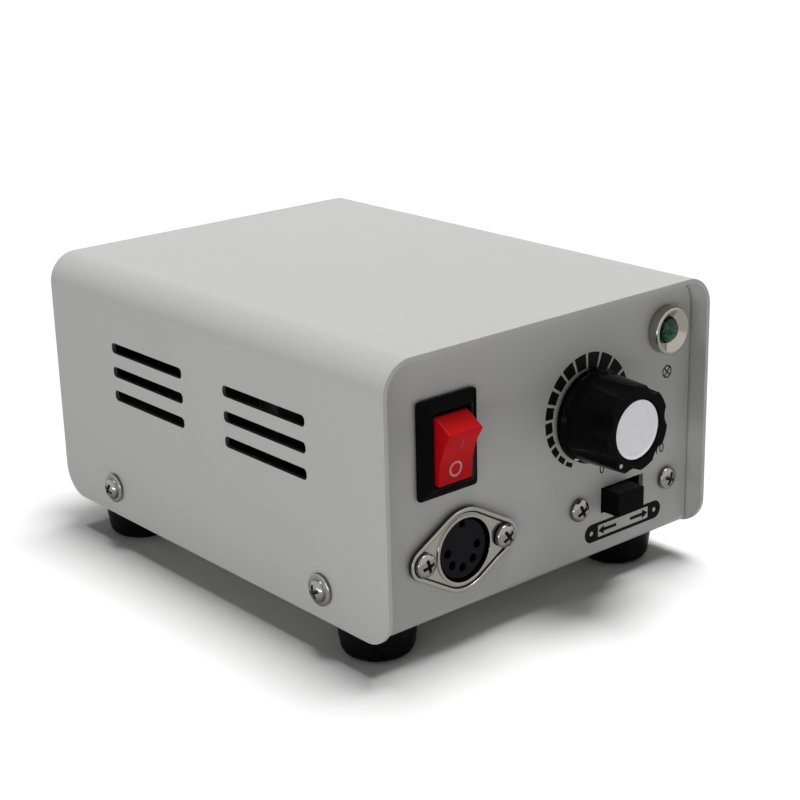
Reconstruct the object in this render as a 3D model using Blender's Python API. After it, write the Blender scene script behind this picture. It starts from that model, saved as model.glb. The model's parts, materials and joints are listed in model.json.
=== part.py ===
# Control box of a dental lab micromotor: a folded sheet cover over a folded
# sheet chassis, with its switch, handpiece socket, speed knob, direction
# slider and pilot lamp in front, its power supply inside, and its fuse,
# cord gland and pedal socket behind.
# Metres, +Z up, front towards -Y. The feet stand on z = 0.

from math import acos, atan2, cos, hypot, pi, radians, sin

import bmesh
import bpy
from mathutils import Matrix

# Running and seating clearances
SEAT_GAP = 0.0003
THREAD_GAP = 0.0003
RUNNING_GAP = 0.0001
CUT_OVERRUN = 0.002

# Names and signs of the sides and rows that pieces come in
SIDES = (("left", -1), ("right", 1))
ROWS = (("front", -1), ("rear", 1))

# Roundness
FINE_SIDES = 48
ROUND_SIDES = 32
SCREW_SIDES = 16
BEND_STEPS = 8
EDGE_STEPS = 4
LOBE_STEPS = 10
SHARP_EDGE_DEGREES = 35

# Sheet cover
COVER_WIDTH = 0.0950
COVER_DEPTH = 0.1237
COVER_HEIGHT = 0.0601
COVER_SHEET = 0.0010
COVER_BEND_RADIUS = 0.0070
COVER_CORNER_RADIUS = 0.0070
SLOT_LENGTH = 0.0286
SLOT_HEIGHT = 0.0025
SLOT_CORNER_RADIUS = 0.0007
SLOT_PITCH = 0.00575
SLOT_ROWS = 3
TOP_SLOT_RISE = 0.0426
FRONT_SLOTS_FROM_FRONT = 0.0392
REAR_SLOTS_FROM_REAR = 0.0403

# Sheet chassis
CHASSIS_SHEET = 0.0012
CHASSIS_BEND_RADIUS = 0.0020
CHASSIS_LIFT = 0.0001
PANEL_RECESS = 0.0045
FLANGE_HEIGHT = 0.0140
FLANGE_RELIEF = 0.0060

# Feet and the screws in them
FOOT_HEIGHT = 0.0078
FOOT_TOP_RADIUS = 0.0087
FOOT_SOLE_RADIUS = 0.0080
FOOT_EDGE_RADIUS = 0.0015
FOOT_FROM_LEFT = 0.0098
FOOT_FROM_RIGHT = 0.0131
FOOT_FROM_FRONT = 0.0157
FOOT_FROM_REAR = 0.0177
FOOT_WELL_RADIUS = 0.0038
FOOT_WELL_DEPTH = 0.0040

# Screws: one thread for the small ones, with three kinds of head
SCREW_RADIUS = 0.0015
PAN_HEAD_RADIUS = 0.0026
PAN_HEAD_HEIGHT = 0.0016
PAN_RIM_HEIGHT = 0.0005
WASHER_HEAD_RADIUS = 0.0035
WASHER_HEAD_HEIGHT = 0.0021
WASHER_RIM_HEIGHT = 0.0006
DOME_RADIUS_SHARE = 0.72
CROSS_WIDTH = 0.0008
CROSS_SPAN = 0.0033
CROSS_DEPTH = 0.0010
COVER_SCREW_LENGTH = 0.0055
PANEL_SCREW_LENGTH = 0.0080
BASE_SCREW_LENGTH = 0.0055
COVER_SCREW_FROM_FRONT = 0.0215
COVER_SCREW_FROM_REAR = 0.0227
COVER_SCREW_RISE = 0.0069
NUT_FLATS = 0.0055
NUT_HEIGHT = 0.0020

# Places on the front panel: across from its middle or from the cover's right side,
# and up from the cover's lower edge or down from its top
ROCKER_X = -0.02805
ROCKER_FROM_TOP = 0.0218
SOCKET_X = -0.0240
SOCKET_RISE = 0.0144
KNOB_X = 0.0136
KNOB_RISE = 0.0344
LAMP_FROM_SIDE = 0.0100
LAMP_FROM_TOP = 0.0115
SLIDE_SCREW_FROM_SIDE = 0.00855
SLIDE_RISE = 0.0131

# Rocker switch
BEZEL_LEDGE = 0.0018
BEZEL_END_LEDGE = 0.0020
BEZEL_STAND = 0.0010
BEZEL_CHAMFER = 0.0003
BEZEL_CORNER_RADIUS = 0.0008
FRAME_INSET = 0.0003
FRAME_STAND = 0.0023
FRAME_LAND = 0.0004
HOUSING_WALL = 0.0013
HOUSING_END_WALL = 0.0007
HOUSING_FLOOR = 0.0060
HOUSING_CORNER_RADIUS = 0.0005
ROCKER_SIDE_GAP = 0.0005
ROCKER_SWING_GAP = 0.0003
ROCKER_UNDER_GAP = 0.0013
ROCKER_WIDTH = 0.0089
ROCKER_TILT_DEGREES = 17.3
ROCKER_PIVOT_DEPTH = 0.0002
PADDLE_REACH = 0.0054
PADDLE_HALF_HEIGHT = 0.00615
PADDLE_HOLLOW = 0.0011
PADDLE_SHOULDER_REACH = 0.0002
PADDLE_SHOULDER_HALF_HEIGHT = 0.0074
PADDLE_SKIRT = 0.0006
PADDLE_HUB_RADIUS = 0.0022
PIVOT_PIN_RADIUS = 0.0009
PIVOT_PIN_REACH = 0.0011
BLADE_WIDTH = 0.0048
BLADE_THICKNESS = 0.0008
BLADE_LENGTH = 0.0080
BLADE_SPACING = 0.0070

# Handpiece socket
FLANGE_LEDGE = 0.0012
FLANGE_EAR_RADIUS = 0.0036
FLANGE_PLATE_STAND = 0.0015
FLANGE_RIM_WIDTH = 0.0009
FLANGE_RIM_HEIGHT = 0.0005
SOCKET_NUT_GAP = 0.00035
SOCKET_MOUTH_RADIUS = 0.0070
SOCKET_WALL = 0.0010
SOCKET_BARREL_DEPTH = 0.0110
INSERT_NOSE_RADIUS = 0.0054
INSERT_RECESS = 0.0010
INSERT_BASE_THICKNESS = 0.0030
CONTACT_COUNT = 5
CONTACT_RADIUS = 0.0009
CONTACT_DEPTH = 0.0060
CONTACT_CIRCLE_RADIUS = 0.0036
CONTACT_STEP_DEGREES = 45

# Speed knob and its potentiometer
KNOB_STAND = 0.0143
KNOB_SKIRT_RADIUS = 0.0105
KNOB_SKIRT_HEIGHT = 0.0022
KNOB_NECK_RADIUS = 0.0100
KNOB_FACE_RADIUS = 0.0096
KNOB_FACE_CHAMFER = 0.0004
KNOB_LOBES = 7
KNOB_LOBE_TURN_DEGREES = -122
KNOB_FLUTE_DEPTH = 0.0012
KNOB_FLUTE_POWER = 1.0
KNOB_FLOAT = 0.0008
KNOB_HOLLOW_RADIUS = 0.0072
KNOB_OVER_BUSH = 0.0009
KNOB_CROWN = 0.0033
KNOB_RIM_WIDTH = 0.0031
CAP_THICKNESS = 0.0008
CAP_EDGE = 0.0003
CAP_SUNK = 0.0002
SHAFT_RADIUS = 0.0030
SHAFT_TAIL = 0.0080
SHAFT_CHAMFER = 0.0005
BUSH_WALL = 0.0006
BUSH_STAND = 0.0036
POT_RADIUS = 0.0082
POT_DEPTH = 0.0092
POT_NUT_FLATS = 0.0100
POT_NUT_HEIGHT = 0.0018
POT_TAB_WIDTH = 0.0015
POT_TAB_THICKNESS = 0.0006
POT_TAB_LENGTH = 0.0060
POT_TAB_SPACING = 0.0050
POT_TAB_COUNT = 3

# Pilot lamp
LAMP_COLLAR_LEDGE = 0.0012
LAMP_BEZEL_STAND = 0.0028
LAMP_RIM_WIDTH = 0.0006
LAMP_RIM_HEIGHT = 0.0015
LAMP_BODY_RADIUS = 0.0042
LAMP_BODY_DEPTH = 0.0110
LAMP_WALL = 0.0013
LAMP_LENS_STAND = 0.0022
LAMP_LENS_DOME = 0.0018
LAMP_LENS_DEPTH = 0.0070
LAMP_NUT_FLATS = 0.0120
LAMP_NUT_HEIGHT = 0.0020

# Direction switch
SLIDE_SCREW_SPACING = 0.0285
SLIDE_EAR_REACH = 0.00325
SLIDE_PLATE_HEIGHT = 0.0092
SLIDE_PLATE_THICKNESS = 0.0008
SLIDE_EAR_CLEAR = 0.0035
SLIDE_CAN_DEPTH = 0.0075
SLIDER_LENGTH = 0.0084
SLIDER_HEIGHT = 0.0054
SLIDER_STAND = 0.0050
SLIDER_TRAVEL = 0.0047
SLIDER_SHOE_MARGIN = 0.0009
SLIDER_SHOE_THICKNESS = 0.0016

# Transformer
CORE_WIDTH = 0.0570
CORE_STACK = 0.0280
CORE_YOKE = 0.0095
WINDOW_WIDTH = 0.0095
WINDOW_HEIGHT = 0.0285
COIL_TO_LEG = 0.0010
COIL_CORNER_RADIUS = 0.0027
STRAP_THICKNESS = 0.0012
STRAP_WIDTH = 0.0180
STRAP_FOOT = 0.0085
TRANSFORMER_BEHIND_BOARD = 0.0380

# Circuit board and what stands on it
BOARD_WIDTH = 0.0720
BOARD_DEPTH = 0.0250
BOARD_THICKNESS = 0.0016
BOARD_LIFT = 0.0060
BOARD_FROM_FRONT = 0.0360
POST_RADIUS = 0.0026
POST_NECK_RADIUS = 0.0013
POST_TIP_HEIGHT = 0.0014
POST_INSET = 0.0035
CAPACITOR_RADIUS = 0.0080
CAPACITOR_HEIGHT = 0.0250
CAPACITOR_GROOVE = 0.0006
CAPACITOR_FROM_END = 0.0190
RECTIFIER_WIDTH = 0.0150
RECTIFIER_THICKNESS = 0.0040
RECTIFIER_HEIGHT = 0.0110
RECTIFIER_FROM_CAPACITOR = 0.0035
SINK_WIDTH = 0.0250
SINK_HEIGHT = 0.0200
SINK_PLATE = 0.0025
SINK_FIN_LENGTH = 0.0080
SINK_FIN_THICKNESS = 0.0015
SINK_FINS = 5
SINK_FROM_END = 0.0130
TRANSISTOR_WIDTH = 0.0100
TRANSISTOR_HEIGHT = 0.0150
TRANSISTOR_THICKNESS = 0.0040
TRANSISTOR_TAB_THICKNESS = 0.0013
TRANSISTOR_BODY_HEIGHT = 0.0095
TRANSISTOR_HOLE_RADIUS = 0.0018

# Places on the rear panel, seen from the front: across from its middle or from the
# cover's left side, and up from the cover's lower edge
FUSE_FROM_SIDE = 0.0145
FUSE_RISE = 0.0317
GLAND_X = 0.0300
GLAND_RISE = 0.0190
PEDAL_X = 0.0020
PEDAL_RISE = 0.0300

# Fuse holder
FUSE_CAP_STAND = 0.0160
FUSE_BODY_RADIUS = 0.0060
FUSE_BODY_WALL = 0.0012
FUSE_BODY_FLOOR = 0.0018
FUSE_END_GAP = 0.0015
FUSE_STAND = 0.0053
FUSE_COLLAR_RADIUS = 0.0074
FUSE_COLLAR_STAND = 0.0030
FUSE_CAP_RADIUS = 0.0058
FUSE_CARRIER_GAP = 0.0005
FUSE_CARRIER_DEPTH = 0.0060
FUSE_CAP_TAPER = 0.0032
FUSE_CAP_SLOT_WIDTH = 0.0012
FUSE_CAP_SLOT_DEPTH = 0.0010
FUSE_RADIUS = 0.0026
FUSE_LENGTH = 0.0200
FUSE_EDGE = 0.0003
FUSE_NUT_RADIUS = 0.0082
FUSE_NUT_HEIGHT = 0.0030

# Cord gland
GLAND_COLLAR_RADIUS = 0.0080
GLAND_COLLAR_STAND = 0.0025
GLAND_NOSE_RADIUS = 0.0058
GLAND_NOSE_STAND = 0.0080
GLAND_BORE_RADIUS = 0.0036
GLAND_BODY_RADIUS = 0.0062
GLAND_BARB_RADIUS = 0.0068
GLAND_BARB_LENGTH = 0.0040

# Foot pedal socket
PEDAL_BARREL_RADIUS = 0.0070
PEDAL_DEPTH = 0.0150
PEDAL_BUSH_RADIUS = 0.0048
PEDAL_BUSH_STAND = 0.0042
PEDAL_BORE_RADIUS = 0.0033
PEDAL_BORE_DEPTH = 0.0130
PEDAL_NUT_FLATS = 0.0130
PEDAL_NUT_HEIGHT = 0.0022

# Sizes that follow from those above
ROCKER_TILT = radians(ROCKER_TILT_DEGREES)
PADDLE_SHOULDER_SWING = hypot(PADDLE_SHOULDER_REACH, PADDLE_SHOULDER_HALF_HEIGHT)
PADDLE_TIP_SWING = PADDLE_HALF_HEIGHT * cos(ROCKER_TILT) + PADDLE_REACH * sin(ROCKER_TILT)
PADDLE_SWING = max(PADDLE_SHOULDER_SWING, PADDLE_TIP_SWING)
WELL_WIDTH = ROCKER_WIDTH + 2 * ROCKER_SIDE_GAP
WELL_HEIGHT = 2 * (PADDLE_SWING + ROCKER_SWING_GAP)
WELL_DEPTH = ROCKER_PIVOT_DEPTH + hypot(PADDLE_HUB_RADIUS, PADDLE_HUB_RADIUS) + ROCKER_UNDER_GAP
HOUSING_WIDTH = WELL_WIDTH + 2 * HOUSING_WALL
HOUSING_HEIGHT = WELL_HEIGHT + 2 * HOUSING_END_WALL
HOUSING_DEPTH = WELL_DEPTH + HOUSING_FLOOR
BEZEL_WIDTH = HOUSING_WIDTH + 2 * BEZEL_LEDGE
BEZEL_HEIGHT = HOUSING_HEIGHT + 2 * BEZEL_END_LEDGE
SOCKET_BARREL_RADIUS = SOCKET_MOUTH_RADIUS + SOCKET_WALL
SOCKET_SCREW_SPACING = 2 * (SOCKET_BARREL_RADIUS + SOCKET_NUT_GAP + NUT_FLATS / 2)
FLANGE_PLATE_RADIUS = SOCKET_BARREL_RADIUS + FLANGE_LEDGE
BUSH_RADIUS = SHAFT_RADIUS + BUSH_WALL
KNOB_HOLLOW_DEPTH = BUSH_STAND + KNOB_OVER_BUSH
KNOB_BORE_DEPTH = KNOB_STAND - KNOB_CROWN
CAP_RADIUS = KNOB_FACE_RADIUS - KNOB_RIM_WIDTH
LAMP_BEZEL_RADIUS = LAMP_BODY_RADIUS + LAMP_COLLAR_LEDGE
LAMP_BORE_RADIUS = LAMP_BODY_RADIUS - LAMP_WALL
SLIDE_PLATE_LENGTH = SLIDE_SCREW_SPACING + 2 * SLIDE_EAR_REACH
SLIDE_CAN_LENGTH = SLIDE_SCREW_SPACING - 2 * SLIDE_EAR_CLEAR
CORE_HEIGHT = WINDOW_HEIGHT + 2 * CORE_YOKE
COIL_THICKNESS = WINDOW_WIDTH - SEAT_GAP - COIL_TO_LEG
CAPACITOR_X = BOARD_WIDTH / 2 - CAPACITOR_FROM_END
RECTIFIER_X = CAPACITOR_X + CAPACITOR_RADIUS + RECTIFIER_FROM_CAPACITOR
SINK_X = SINK_FROM_END - BOARD_WIDTH / 2
FUSE_BORE_RADIUS = FUSE_BODY_RADIUS - FUSE_BODY_WALL
FUSE_CARRIER_RADIUS = FUSE_BORE_RADIUS - FUSE_CARRIER_GAP
FUSE_BORE_DEPTH = FUSE_LENGTH - FUSE_STAND + FUSE_END_GAP
FUSE_BODY_DEPTH = FUSE_BORE_DEPTH + FUSE_BODY_FLOOR

# Levels and faces that the sizes set
FRONT_REACH = KNOB_STAND - PANEL_RECESS
REAR_REACH = FUSE_CAP_STAND - PANEL_RECESS
COVER_FRONT_Y = FRONT_REACH - (FRONT_REACH + COVER_DEPTH + REAR_REACH) / 2
COVER_REAR_Y = COVER_FRONT_Y + COVER_DEPTH
PANEL_FACE_Y = COVER_FRONT_Y + PANEL_RECESS
REAR_FACE_Y = COVER_REAR_Y - PANEL_RECESS
CHASSIS_BOTTOM_Z = FOOT_HEIGHT + SEAT_GAP
BASE_TOP_Z = CHASSIS_BOTTOM_Z + CHASSIS_SHEET
COVER_BOTTOM_Z = CHASSIS_BOTTOM_Z - CHASSIS_LIFT
COVER_TOP_Z = COVER_BOTTOM_Z + COVER_HEIGHT
PANEL_TOP_Z = COVER_TOP_Z - COVER_SHEET - SEAT_GAP
COVER_HALF_WIDTH = COVER_WIDTH / 2
PANEL_HALF_WIDTH = COVER_HALF_WIDTH - COVER_SHEET - SEAT_GAP
BEHIND_PANEL = -CHASSIS_SHEET - SEAT_GAP
SCREW_HOLE_RADIUS = SCREW_RADIUS + THREAD_GAP
ROCKER_RISE = COVER_HEIGHT - ROCKER_FROM_TOP
LAMP_X = COVER_HALF_WIDTH - LAMP_FROM_SIDE
LAMP_RISE = COVER_HEIGHT - LAMP_FROM_TOP
SLIDE_X = COVER_HALF_WIDTH - SLIDE_SCREW_FROM_SIDE - SLIDE_SCREW_SPACING / 2
FUSE_X = FUSE_FROM_SIDE - COVER_HALF_WIDTH
BOARD_MIDDLE_Y = COVER_FRONT_Y + BOARD_FROM_FRONT
TRANSFORMER_Y = BOARD_MIDDLE_Y + TRANSFORMER_BEHIND_BOARD

# Colours, roughness and metallic value of each finish
FINISHES = {
    "cover_paint": ((0.60, 0.60, 0.58), 0.42, 0.0),
    "chassis_paint": ((0.58, 0.58, 0.56), 0.45, 0.0),
    "zinc_screw": ((0.62, 0.61, 0.58), 0.25, 1.0),
    "nickel": ((0.66, 0.63, 0.58), 0.22, 1.0),
    "foot_rubber": ((0.012, 0.012, 0.013), 0.35, 0.0),
    "black_plastic": ((0.012, 0.012, 0.013), 0.28, 0.0),
    "red_plastic": ((0.52, 0.012, 0.014), 0.30, 0.0),
    "silver_disc": ((0.66, 0.65, 0.68), 0.35, 0.3),
    "lens_green": ((0.005, 0.085, 0.035), 0.12, 0.0),
    "brass": ((0.62, 0.45, 0.18), 0.30, 1.0),
    "core_iron": ((0.12, 0.12, 0.13), 0.55, 0.7),
    "coil_tape": ((0.55, 0.42, 0.08), 0.40, 0.0),
    "board_green": ((0.02, 0.16, 0.07), 0.45, 0.0),
    "capacitor_sleeve": ((0.02, 0.03, 0.10), 0.35, 0.0),
    "aluminium": ((0.70, 0.70, 0.71), 0.38, 1.0),
    "fuse_glass": ((0.75, 0.80, 0.80), 0.08, 0.0),
    "white_nylon": ((0.75, 0.74, 0.70), 0.45, 0.0),
}


# Outlines: lists of (x, y) points, anticlockwise


def circle(radius, sides, x=0.0, y=0.0):
    turns = [2 * pi * k / sides for k in range(sides)]
    return [(x + radius * cos(a), y + radius * sin(a)) for a in turns]


def arc(x, y, radius, start, end, steps):
    angles = [start + (end - start) * k / steps for k in range(steps + 1)]
    return [(x + radius * cos(a), y + radius * sin(a)) for a in angles]


def rectangle(width, height, x=0.0, y=0.0):
    w, h = width / 2, height / 2
    return [(x - w, y - h), (x + w, y - h), (x + w, y + h), (x - w, y + h)]


def rounded_rectangle(width, height, radius, x=0.0, y=0.0):
    w, h = width / 2 - radius, height / 2 - radius
    corners = ((w, h, 0), (-w, h, pi / 2), (-w, -h, pi), (w, -h, 3 * pi / 2))
    points = []
    for cx, cy, start in corners:
        points += arc(x + cx, y + cy, radius, start, start + pi / 2, EDGE_STEPS)
    return points


def hexagon(flats):
    """Two of its flats face sideways."""
    corner = flats / 2 / cos(pi / 6)
    turns = [pi / 6 + pi / 3 * k for k in range(6)]
    return [(corner * cos(a), corner * sin(a)) for a in turns]


def eared_plate(radius, ear_radius, spacing):
    """A disc with an ear on each side, joined by straight tangents."""
    half = spacing / 2
    tangent = acos((radius - ear_radius) / half)
    points = arc(0, 0, radius, tangent, pi - tangent, BEND_STEPS)
    points += arc(-half, 0, ear_radius, pi - tangent, pi + tangent, BEND_STEPS)
    points += arc(0, 0, radius, pi + tangent, 2 * pi - tangent, BEND_STEPS)
    return points + arc(half, 0, ear_radius, -tangent, tangent, BEND_STEPS)


def fluted_circle(radius, flute_depth, lobes, sides):
    """A circle with round flutes between its lobes."""
    turn = radians(KNOB_LOBE_TURN_DEGREES)
    points = []
    for k in range(sides):
        a = 2 * pi * k / sides
        r = radius - flute_depth * (0.5 - 0.5 * cos(lobes * (a - turn))) ** KNOB_FLUTE_POWER
        points.append((r * cos(a), r * sin(a)))
    return points


# Solids, each in a bmesh of its own


def loft(sections, closed_ring=False):
    """A skin through outlines of equal length at their heights, capped at both ends."""
    bm = bmesh.new()
    rings = [[bm.verts.new((x, y, z)) for x, y in points] for points, z in sections]
    pairs = list(zip(rings, rings[1:]))
    if closed_ring:
        pairs.append((rings[-1], rings[0]))
    else:
        bm.faces.new(rings[0])
        bm.faces.new(rings[-1])
    for low, high in pairs:
        count = len(low)
        for k in range(count):
            n = (k + 1) % count
            bm.faces.new((low[k], low[n], high[n], high[k]))
    bmesh.ops.recalc_face_normals(bm, faces=bm.faces)
    return bm


def prism(points, low, high):
    return loft([(points, low), (points, high)])


def block(low, high):
    width, depth = high[0] - low[0], high[1] - low[1]
    middle = ((low[0] + high[0]) / 2, (low[1] + high[1]) / 2)
    return prism(rectangle(width, depth, *middle), low[2], high[2])


def turned(profile, sides):
    """A solid of revolution about Z through (radius, height) points that start and end on the axis."""
    bm = bmesh.new()
    rings = []
    for radius, height in profile:
        if radius == 0:
            rings.append([bm.verts.new((0, 0, height))])
        else:
            rings.append([bm.verts.new((x, y, height)) for x, y in circle(radius, sides)])
    for low, high in zip(rings, rings[1:]):
        for k in range(sides):
            n = (k + 1) % sides
            if len(low) == 1 and len(high) > 1:
                bm.faces.new((low[0], high[n], high[k]))
            elif len(high) == 1 and len(low) > 1:
                bm.faces.new((low[k], low[n], high[0]))
            elif len(low) > 1:
                bm.faces.new((low[k], low[n], high[n], high[k]))
    bmesh.ops.recalc_face_normals(bm, faces=bm.faces)
    return bm


def tube(profile, sides):
    """A ring of revolution about Z through a closed loop of (radius, height) points."""
    return loft([(circle(r, sides), z) for r, z in profile], closed_ring=True)


def moved(bm, x=0.0, y=0.0, z=0.0, turn=None):
    if turn is not None:
        bmesh.ops.transform(bm, matrix=turn, verts=bm.verts)
    bmesh.ops.translate(bm, vec=(x, y, z), verts=bm.verts)
    return bm


def gathered(parts):
    """Several separate solids in one bmesh, as one cutter."""
    whole = bmesh.new()
    for part in parts:
        mesh = bpy.data.meshes.new("cutter_part")
        part.to_mesh(mesh)
        part.free()
        whole.from_mesh(mesh)
        bpy.data.meshes.remove(mesh)
    return whole


# Objects


def finish(name):
    found = bpy.data.materials.get(name)
    if found:
        return found
    colour, roughness, metallic = FINISHES[name]
    material = bpy.data.materials.new(name)
    material.use_nodes = True
    shader = material.node_tree.nodes["Principled BSDF"]
    shader.inputs["Base Color"].default_value = (*colour, 1.0)
    shader.inputs["Roughness"].default_value = roughness
    shader.inputs["Metallic"].default_value = metallic
    material.diffuse_color = (*colour, 1.0)
    return material


def mesh_object(name, bm):
    mesh = bpy.data.meshes.new(name)
    bm.to_mesh(mesh)
    bm.free()
    obj = bpy.data.objects.new(name, mesh)
    bpy.context.scene.collection.objects.link(obj)
    return obj


def combined(obj, bm, operation):
    """Joins a solid to the object's mesh or cuts it away, and keeps the result as its mesh."""
    other = mesh_object("cutter", bm)
    other.hide_render = True
    other.display_type = "WIRE"
    modifier = obj.modifiers.new("shape", "BOOLEAN")
    modifier.operation = operation
    modifier.solver = "EXACT"
    modifier.object = other
    graph = bpy.context.evaluated_depsgraph_get()
    mesh = bpy.data.meshes.new_from_object(obj.evaluated_get(graph))
    mesh.name = obj.name
    old = obj.data
    obj.modifiers.clear()
    obj.data = mesh
    bpy.data.meshes.remove(old)
    cutter_mesh = other.data
    bpy.data.objects.remove(other)
    bpy.data.meshes.remove(cutter_mesh)
    return obj


def join(obj, bm):
    return combined(obj, bm, "UNION")


def cut(obj, bm):
    return combined(obj, bm, "DIFFERENCE")


def dress(obj, finish_name):
    """Round faces smooth, edges sharp, one finish."""
    obj.data.shade_smooth()
    obj.data.set_sharp_from_angle(angle=radians(SHARP_EDGE_DEGREES))
    obj.data.materials.clear()
    obj.data.materials.append(finish(finish_name))
    return obj


def place(obj, parent, location, rotation=(0.0, 0.0, 0.0)):
    obj.parent = parent
    obj.location = location
    obj.rotation_euler = rotation
    return obj


def copy_of(obj, name):
    """A second object on the same mesh."""
    twin = bpy.data.objects.new(name, obj.data)
    bpy.context.scene.collection.objects.link(twin)
    return twin


def alike(first, names):
    """The first object, which has the first name, and a twin of it for each other name."""
    return [first] + [copy_of(first, name) for name in names[1:]]


def guide(name, location, rotation=(0.0, 0.0, 0.0)):
    """An empty that carries the pieces of one face: its local z points out of that face."""
    empty = bpy.data.objects.new(name, None)
    empty.empty_display_size = FOOT_HEIGHT
    empty.location = location
    empty.rotation_euler = rotation
    bpy.context.scene.collection.objects.link(empty)
    return empty


# Casing


def u_profile(half_width, foot, top, sheet, bend):
    """The section of a sheet bent twice into an upside-down U, x across and y up."""
    inner = bend - sheet
    x, y = half_width - bend, top - bend
    outside = arc(x, y, bend, 0, pi / 2, BEND_STEPS) + arc(-x, y, bend, pi / 2, pi, BEND_STEPS)
    inside = arc(-x, y, inner, pi, pi / 2, BEND_STEPS) + arc(x, y, inner, pi / 2, 0, BEND_STEPS)
    legs = [(half_width, foot)], [(-half_width, foot), (sheet - half_width, foot)]
    return legs[0] + outside + legs[1] + inside + [(half_width - sheet, foot)]


def corner_waste(x, y, radius, x_way, y_way):
    """What is cut off a square corner at (x, y) to round it. The ways point into the sheet."""
    centre = x + radius * x_way, y + radius * y_way
    start = atan2(-y_way, 0)
    end = atan2(0, -x_way)
    if abs(end - start) > pi:
        end += 2 * pi if end < start else -2 * pi
    rounding = arc(*centre, radius, start, end, BEND_STEPS)
    over_x, over_y = x - CUT_OVERRUN * x_way, y - CUT_OVERRUN * y_way
    return rounding + [(over_x, centre[1]), (over_x, over_y), (centre[0], over_y)]


def along_y(bm):
    """Turns a solid built on x across, y up and z forward so that it stands in the world."""
    return moved(bm, turn=Matrix.Rotation(pi / 2, 4, "X"))


def along_x(bm):
    """Turns a solid built on x to the rear, y up and z out so that it stands in the world."""
    turn = Matrix(((0, 0, 1, 0), (1, 0, 0, 0), (0, 1, 0, 0), (0, 0, 0, 1)))
    return moved(bm, turn=turn)


def side_holes():
    """(y, z) of each cover screw, front and rear."""
    z = COVER_BOTTOM_Z + COVER_SCREW_RISE
    return [(COVER_FRONT_Y + COVER_SCREW_FROM_FRONT, z), (COVER_REAR_Y - COVER_SCREW_FROM_REAR, z)]


def make_cover():
    profile = u_profile(
        COVER_HALF_WIDTH, COVER_BOTTOM_Z, COVER_TOP_Z, COVER_SHEET, COVER_BEND_RADIUS
    )
    cover = mesh_object("cover", along_y(prism(profile, -COVER_REAR_Y, -COVER_FRONT_Y)))
    reach = COVER_HALF_WIDTH + CUT_OVERRUN
    cutters = []
    for y, way in ((COVER_FRONT_Y, 1), (COVER_REAR_Y, -1)):
        waste = corner_waste(y, COVER_BOTTOM_Z, COVER_CORNER_RADIUS, way, 1)
        cutters.append(along_x(prism(waste, -reach, reach)))
    for y in (COVER_FRONT_Y + FRONT_SLOTS_FROM_FRONT, COVER_REAR_Y - REAR_SLOTS_FROM_REAR):
        for row in range(SLOT_ROWS):
            z = COVER_BOTTOM_Z + TOP_SLOT_RISE - row * SLOT_PITCH
            slot = rounded_rectangle(SLOT_LENGTH, SLOT_HEIGHT, SLOT_CORNER_RADIUS, y, z)
            cutters.append(along_x(prism(slot, -reach, reach)))
    for y, z in side_holes():
        cutters.append(along_x(prism(circle(SCREW_HOLE_RADIUS, SCREW_SIDES, y, z), -reach, reach)))
    cut(cover, gathered(cutters))
    return dress(cover, "cover_paint")


def chassis_profile():
    """The folded sheet from the side: front panel, base, rear panel, y to the rear and z up."""
    bend, sheet = CHASSIS_BEND_RADIUS, CHASSIS_SHEET
    inner = bend - sheet
    front, rear = PANEL_FACE_Y + bend, REAR_FACE_Y - bend
    z = CHASSIS_BOTTOM_Z + bend
    outside = arc(front, z, bend, pi, 3 * pi / 2, BEND_STEPS)
    outside += arc(rear, z, bend, 3 * pi / 2, 2 * pi, BEND_STEPS)
    inside = arc(rear, z, inner, 2 * pi, 3 * pi / 2, BEND_STEPS)
    inside += arc(front, z, inner, 3 * pi / 2, pi, BEND_STEPS)
    rear_edge = [(REAR_FACE_Y, PANEL_TOP_Z), (REAR_FACE_Y - sheet, PANEL_TOP_Z)]
    front_edge = [(PANEL_FACE_Y + sheet, PANEL_TOP_Z), (PANEL_FACE_Y, PANEL_TOP_Z)]
    return outside + rear_edge + inside + front_edge


def front_hole(points):
    """A hole through the front panel, from an outline across and up."""
    return along_y(prism(points, -PANEL_FACE_Y - CHASSIS_SHEET - CUT_OVERRUN, -PANEL_FACE_Y + CUT_OVERRUN))


def rear_hole(points):
    return along_y(prism(points, -REAR_FACE_Y - CUT_OVERRUN, -REAR_FACE_Y + CHASSIS_SHEET + CUT_OVERRUN))


def base_hole(x, y):
    points = circle(SCREW_HOLE_RADIUS, SCREW_SIDES, x, y)
    return prism(points, CHASSIS_BOTTOM_Z - CUT_OVERRUN, BASE_TOP_Z + CUT_OVERRUN)


def slide_opening():
    """Length and height of the slot that the direction slider runs in."""
    return SLIDER_LENGTH + SLIDER_TRAVEL + 2 * SEAT_GAP, SLIDER_HEIGHT + 2 * SEAT_GAP


def front_panel_holes():
    z = COVER_BOTTOM_Z
    switch = rounded_rectangle(
        HOUSING_WIDTH + 2 * SEAT_GAP,
        HOUSING_HEIGHT + 2 * SEAT_GAP,
        HOUSING_CORNER_RADIUS,
        ROCKER_X,
        z + ROCKER_RISE,
    )
    slider = rectangle(*slide_opening(), SLIDE_X, z + SLIDE_RISE)
    outlines = [switch, slider]
    rounds = [
        (SOCKET_BARREL_RADIUS + SEAT_GAP, SOCKET_X, SOCKET_RISE),
        (BUSH_RADIUS + SEAT_GAP, KNOB_X, KNOB_RISE),
        (LAMP_BODY_RADIUS + SEAT_GAP, LAMP_X, LAMP_RISE),
    ]
    for way in (-1, 1):
        rounds.append((SCREW_HOLE_RADIUS, SOCKET_X + way * SOCKET_SCREW_SPACING / 2, SOCKET_RISE))
        rounds.append((SCREW_HOLE_RADIUS, SLIDE_X + way * SLIDE_SCREW_SPACING / 2, SLIDE_RISE))
    outlines += [circle(radius, ROUND_SIDES, x, z + rise) for radius, x, rise in rounds]
    return [front_hole(points) for points in outlines]


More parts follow.
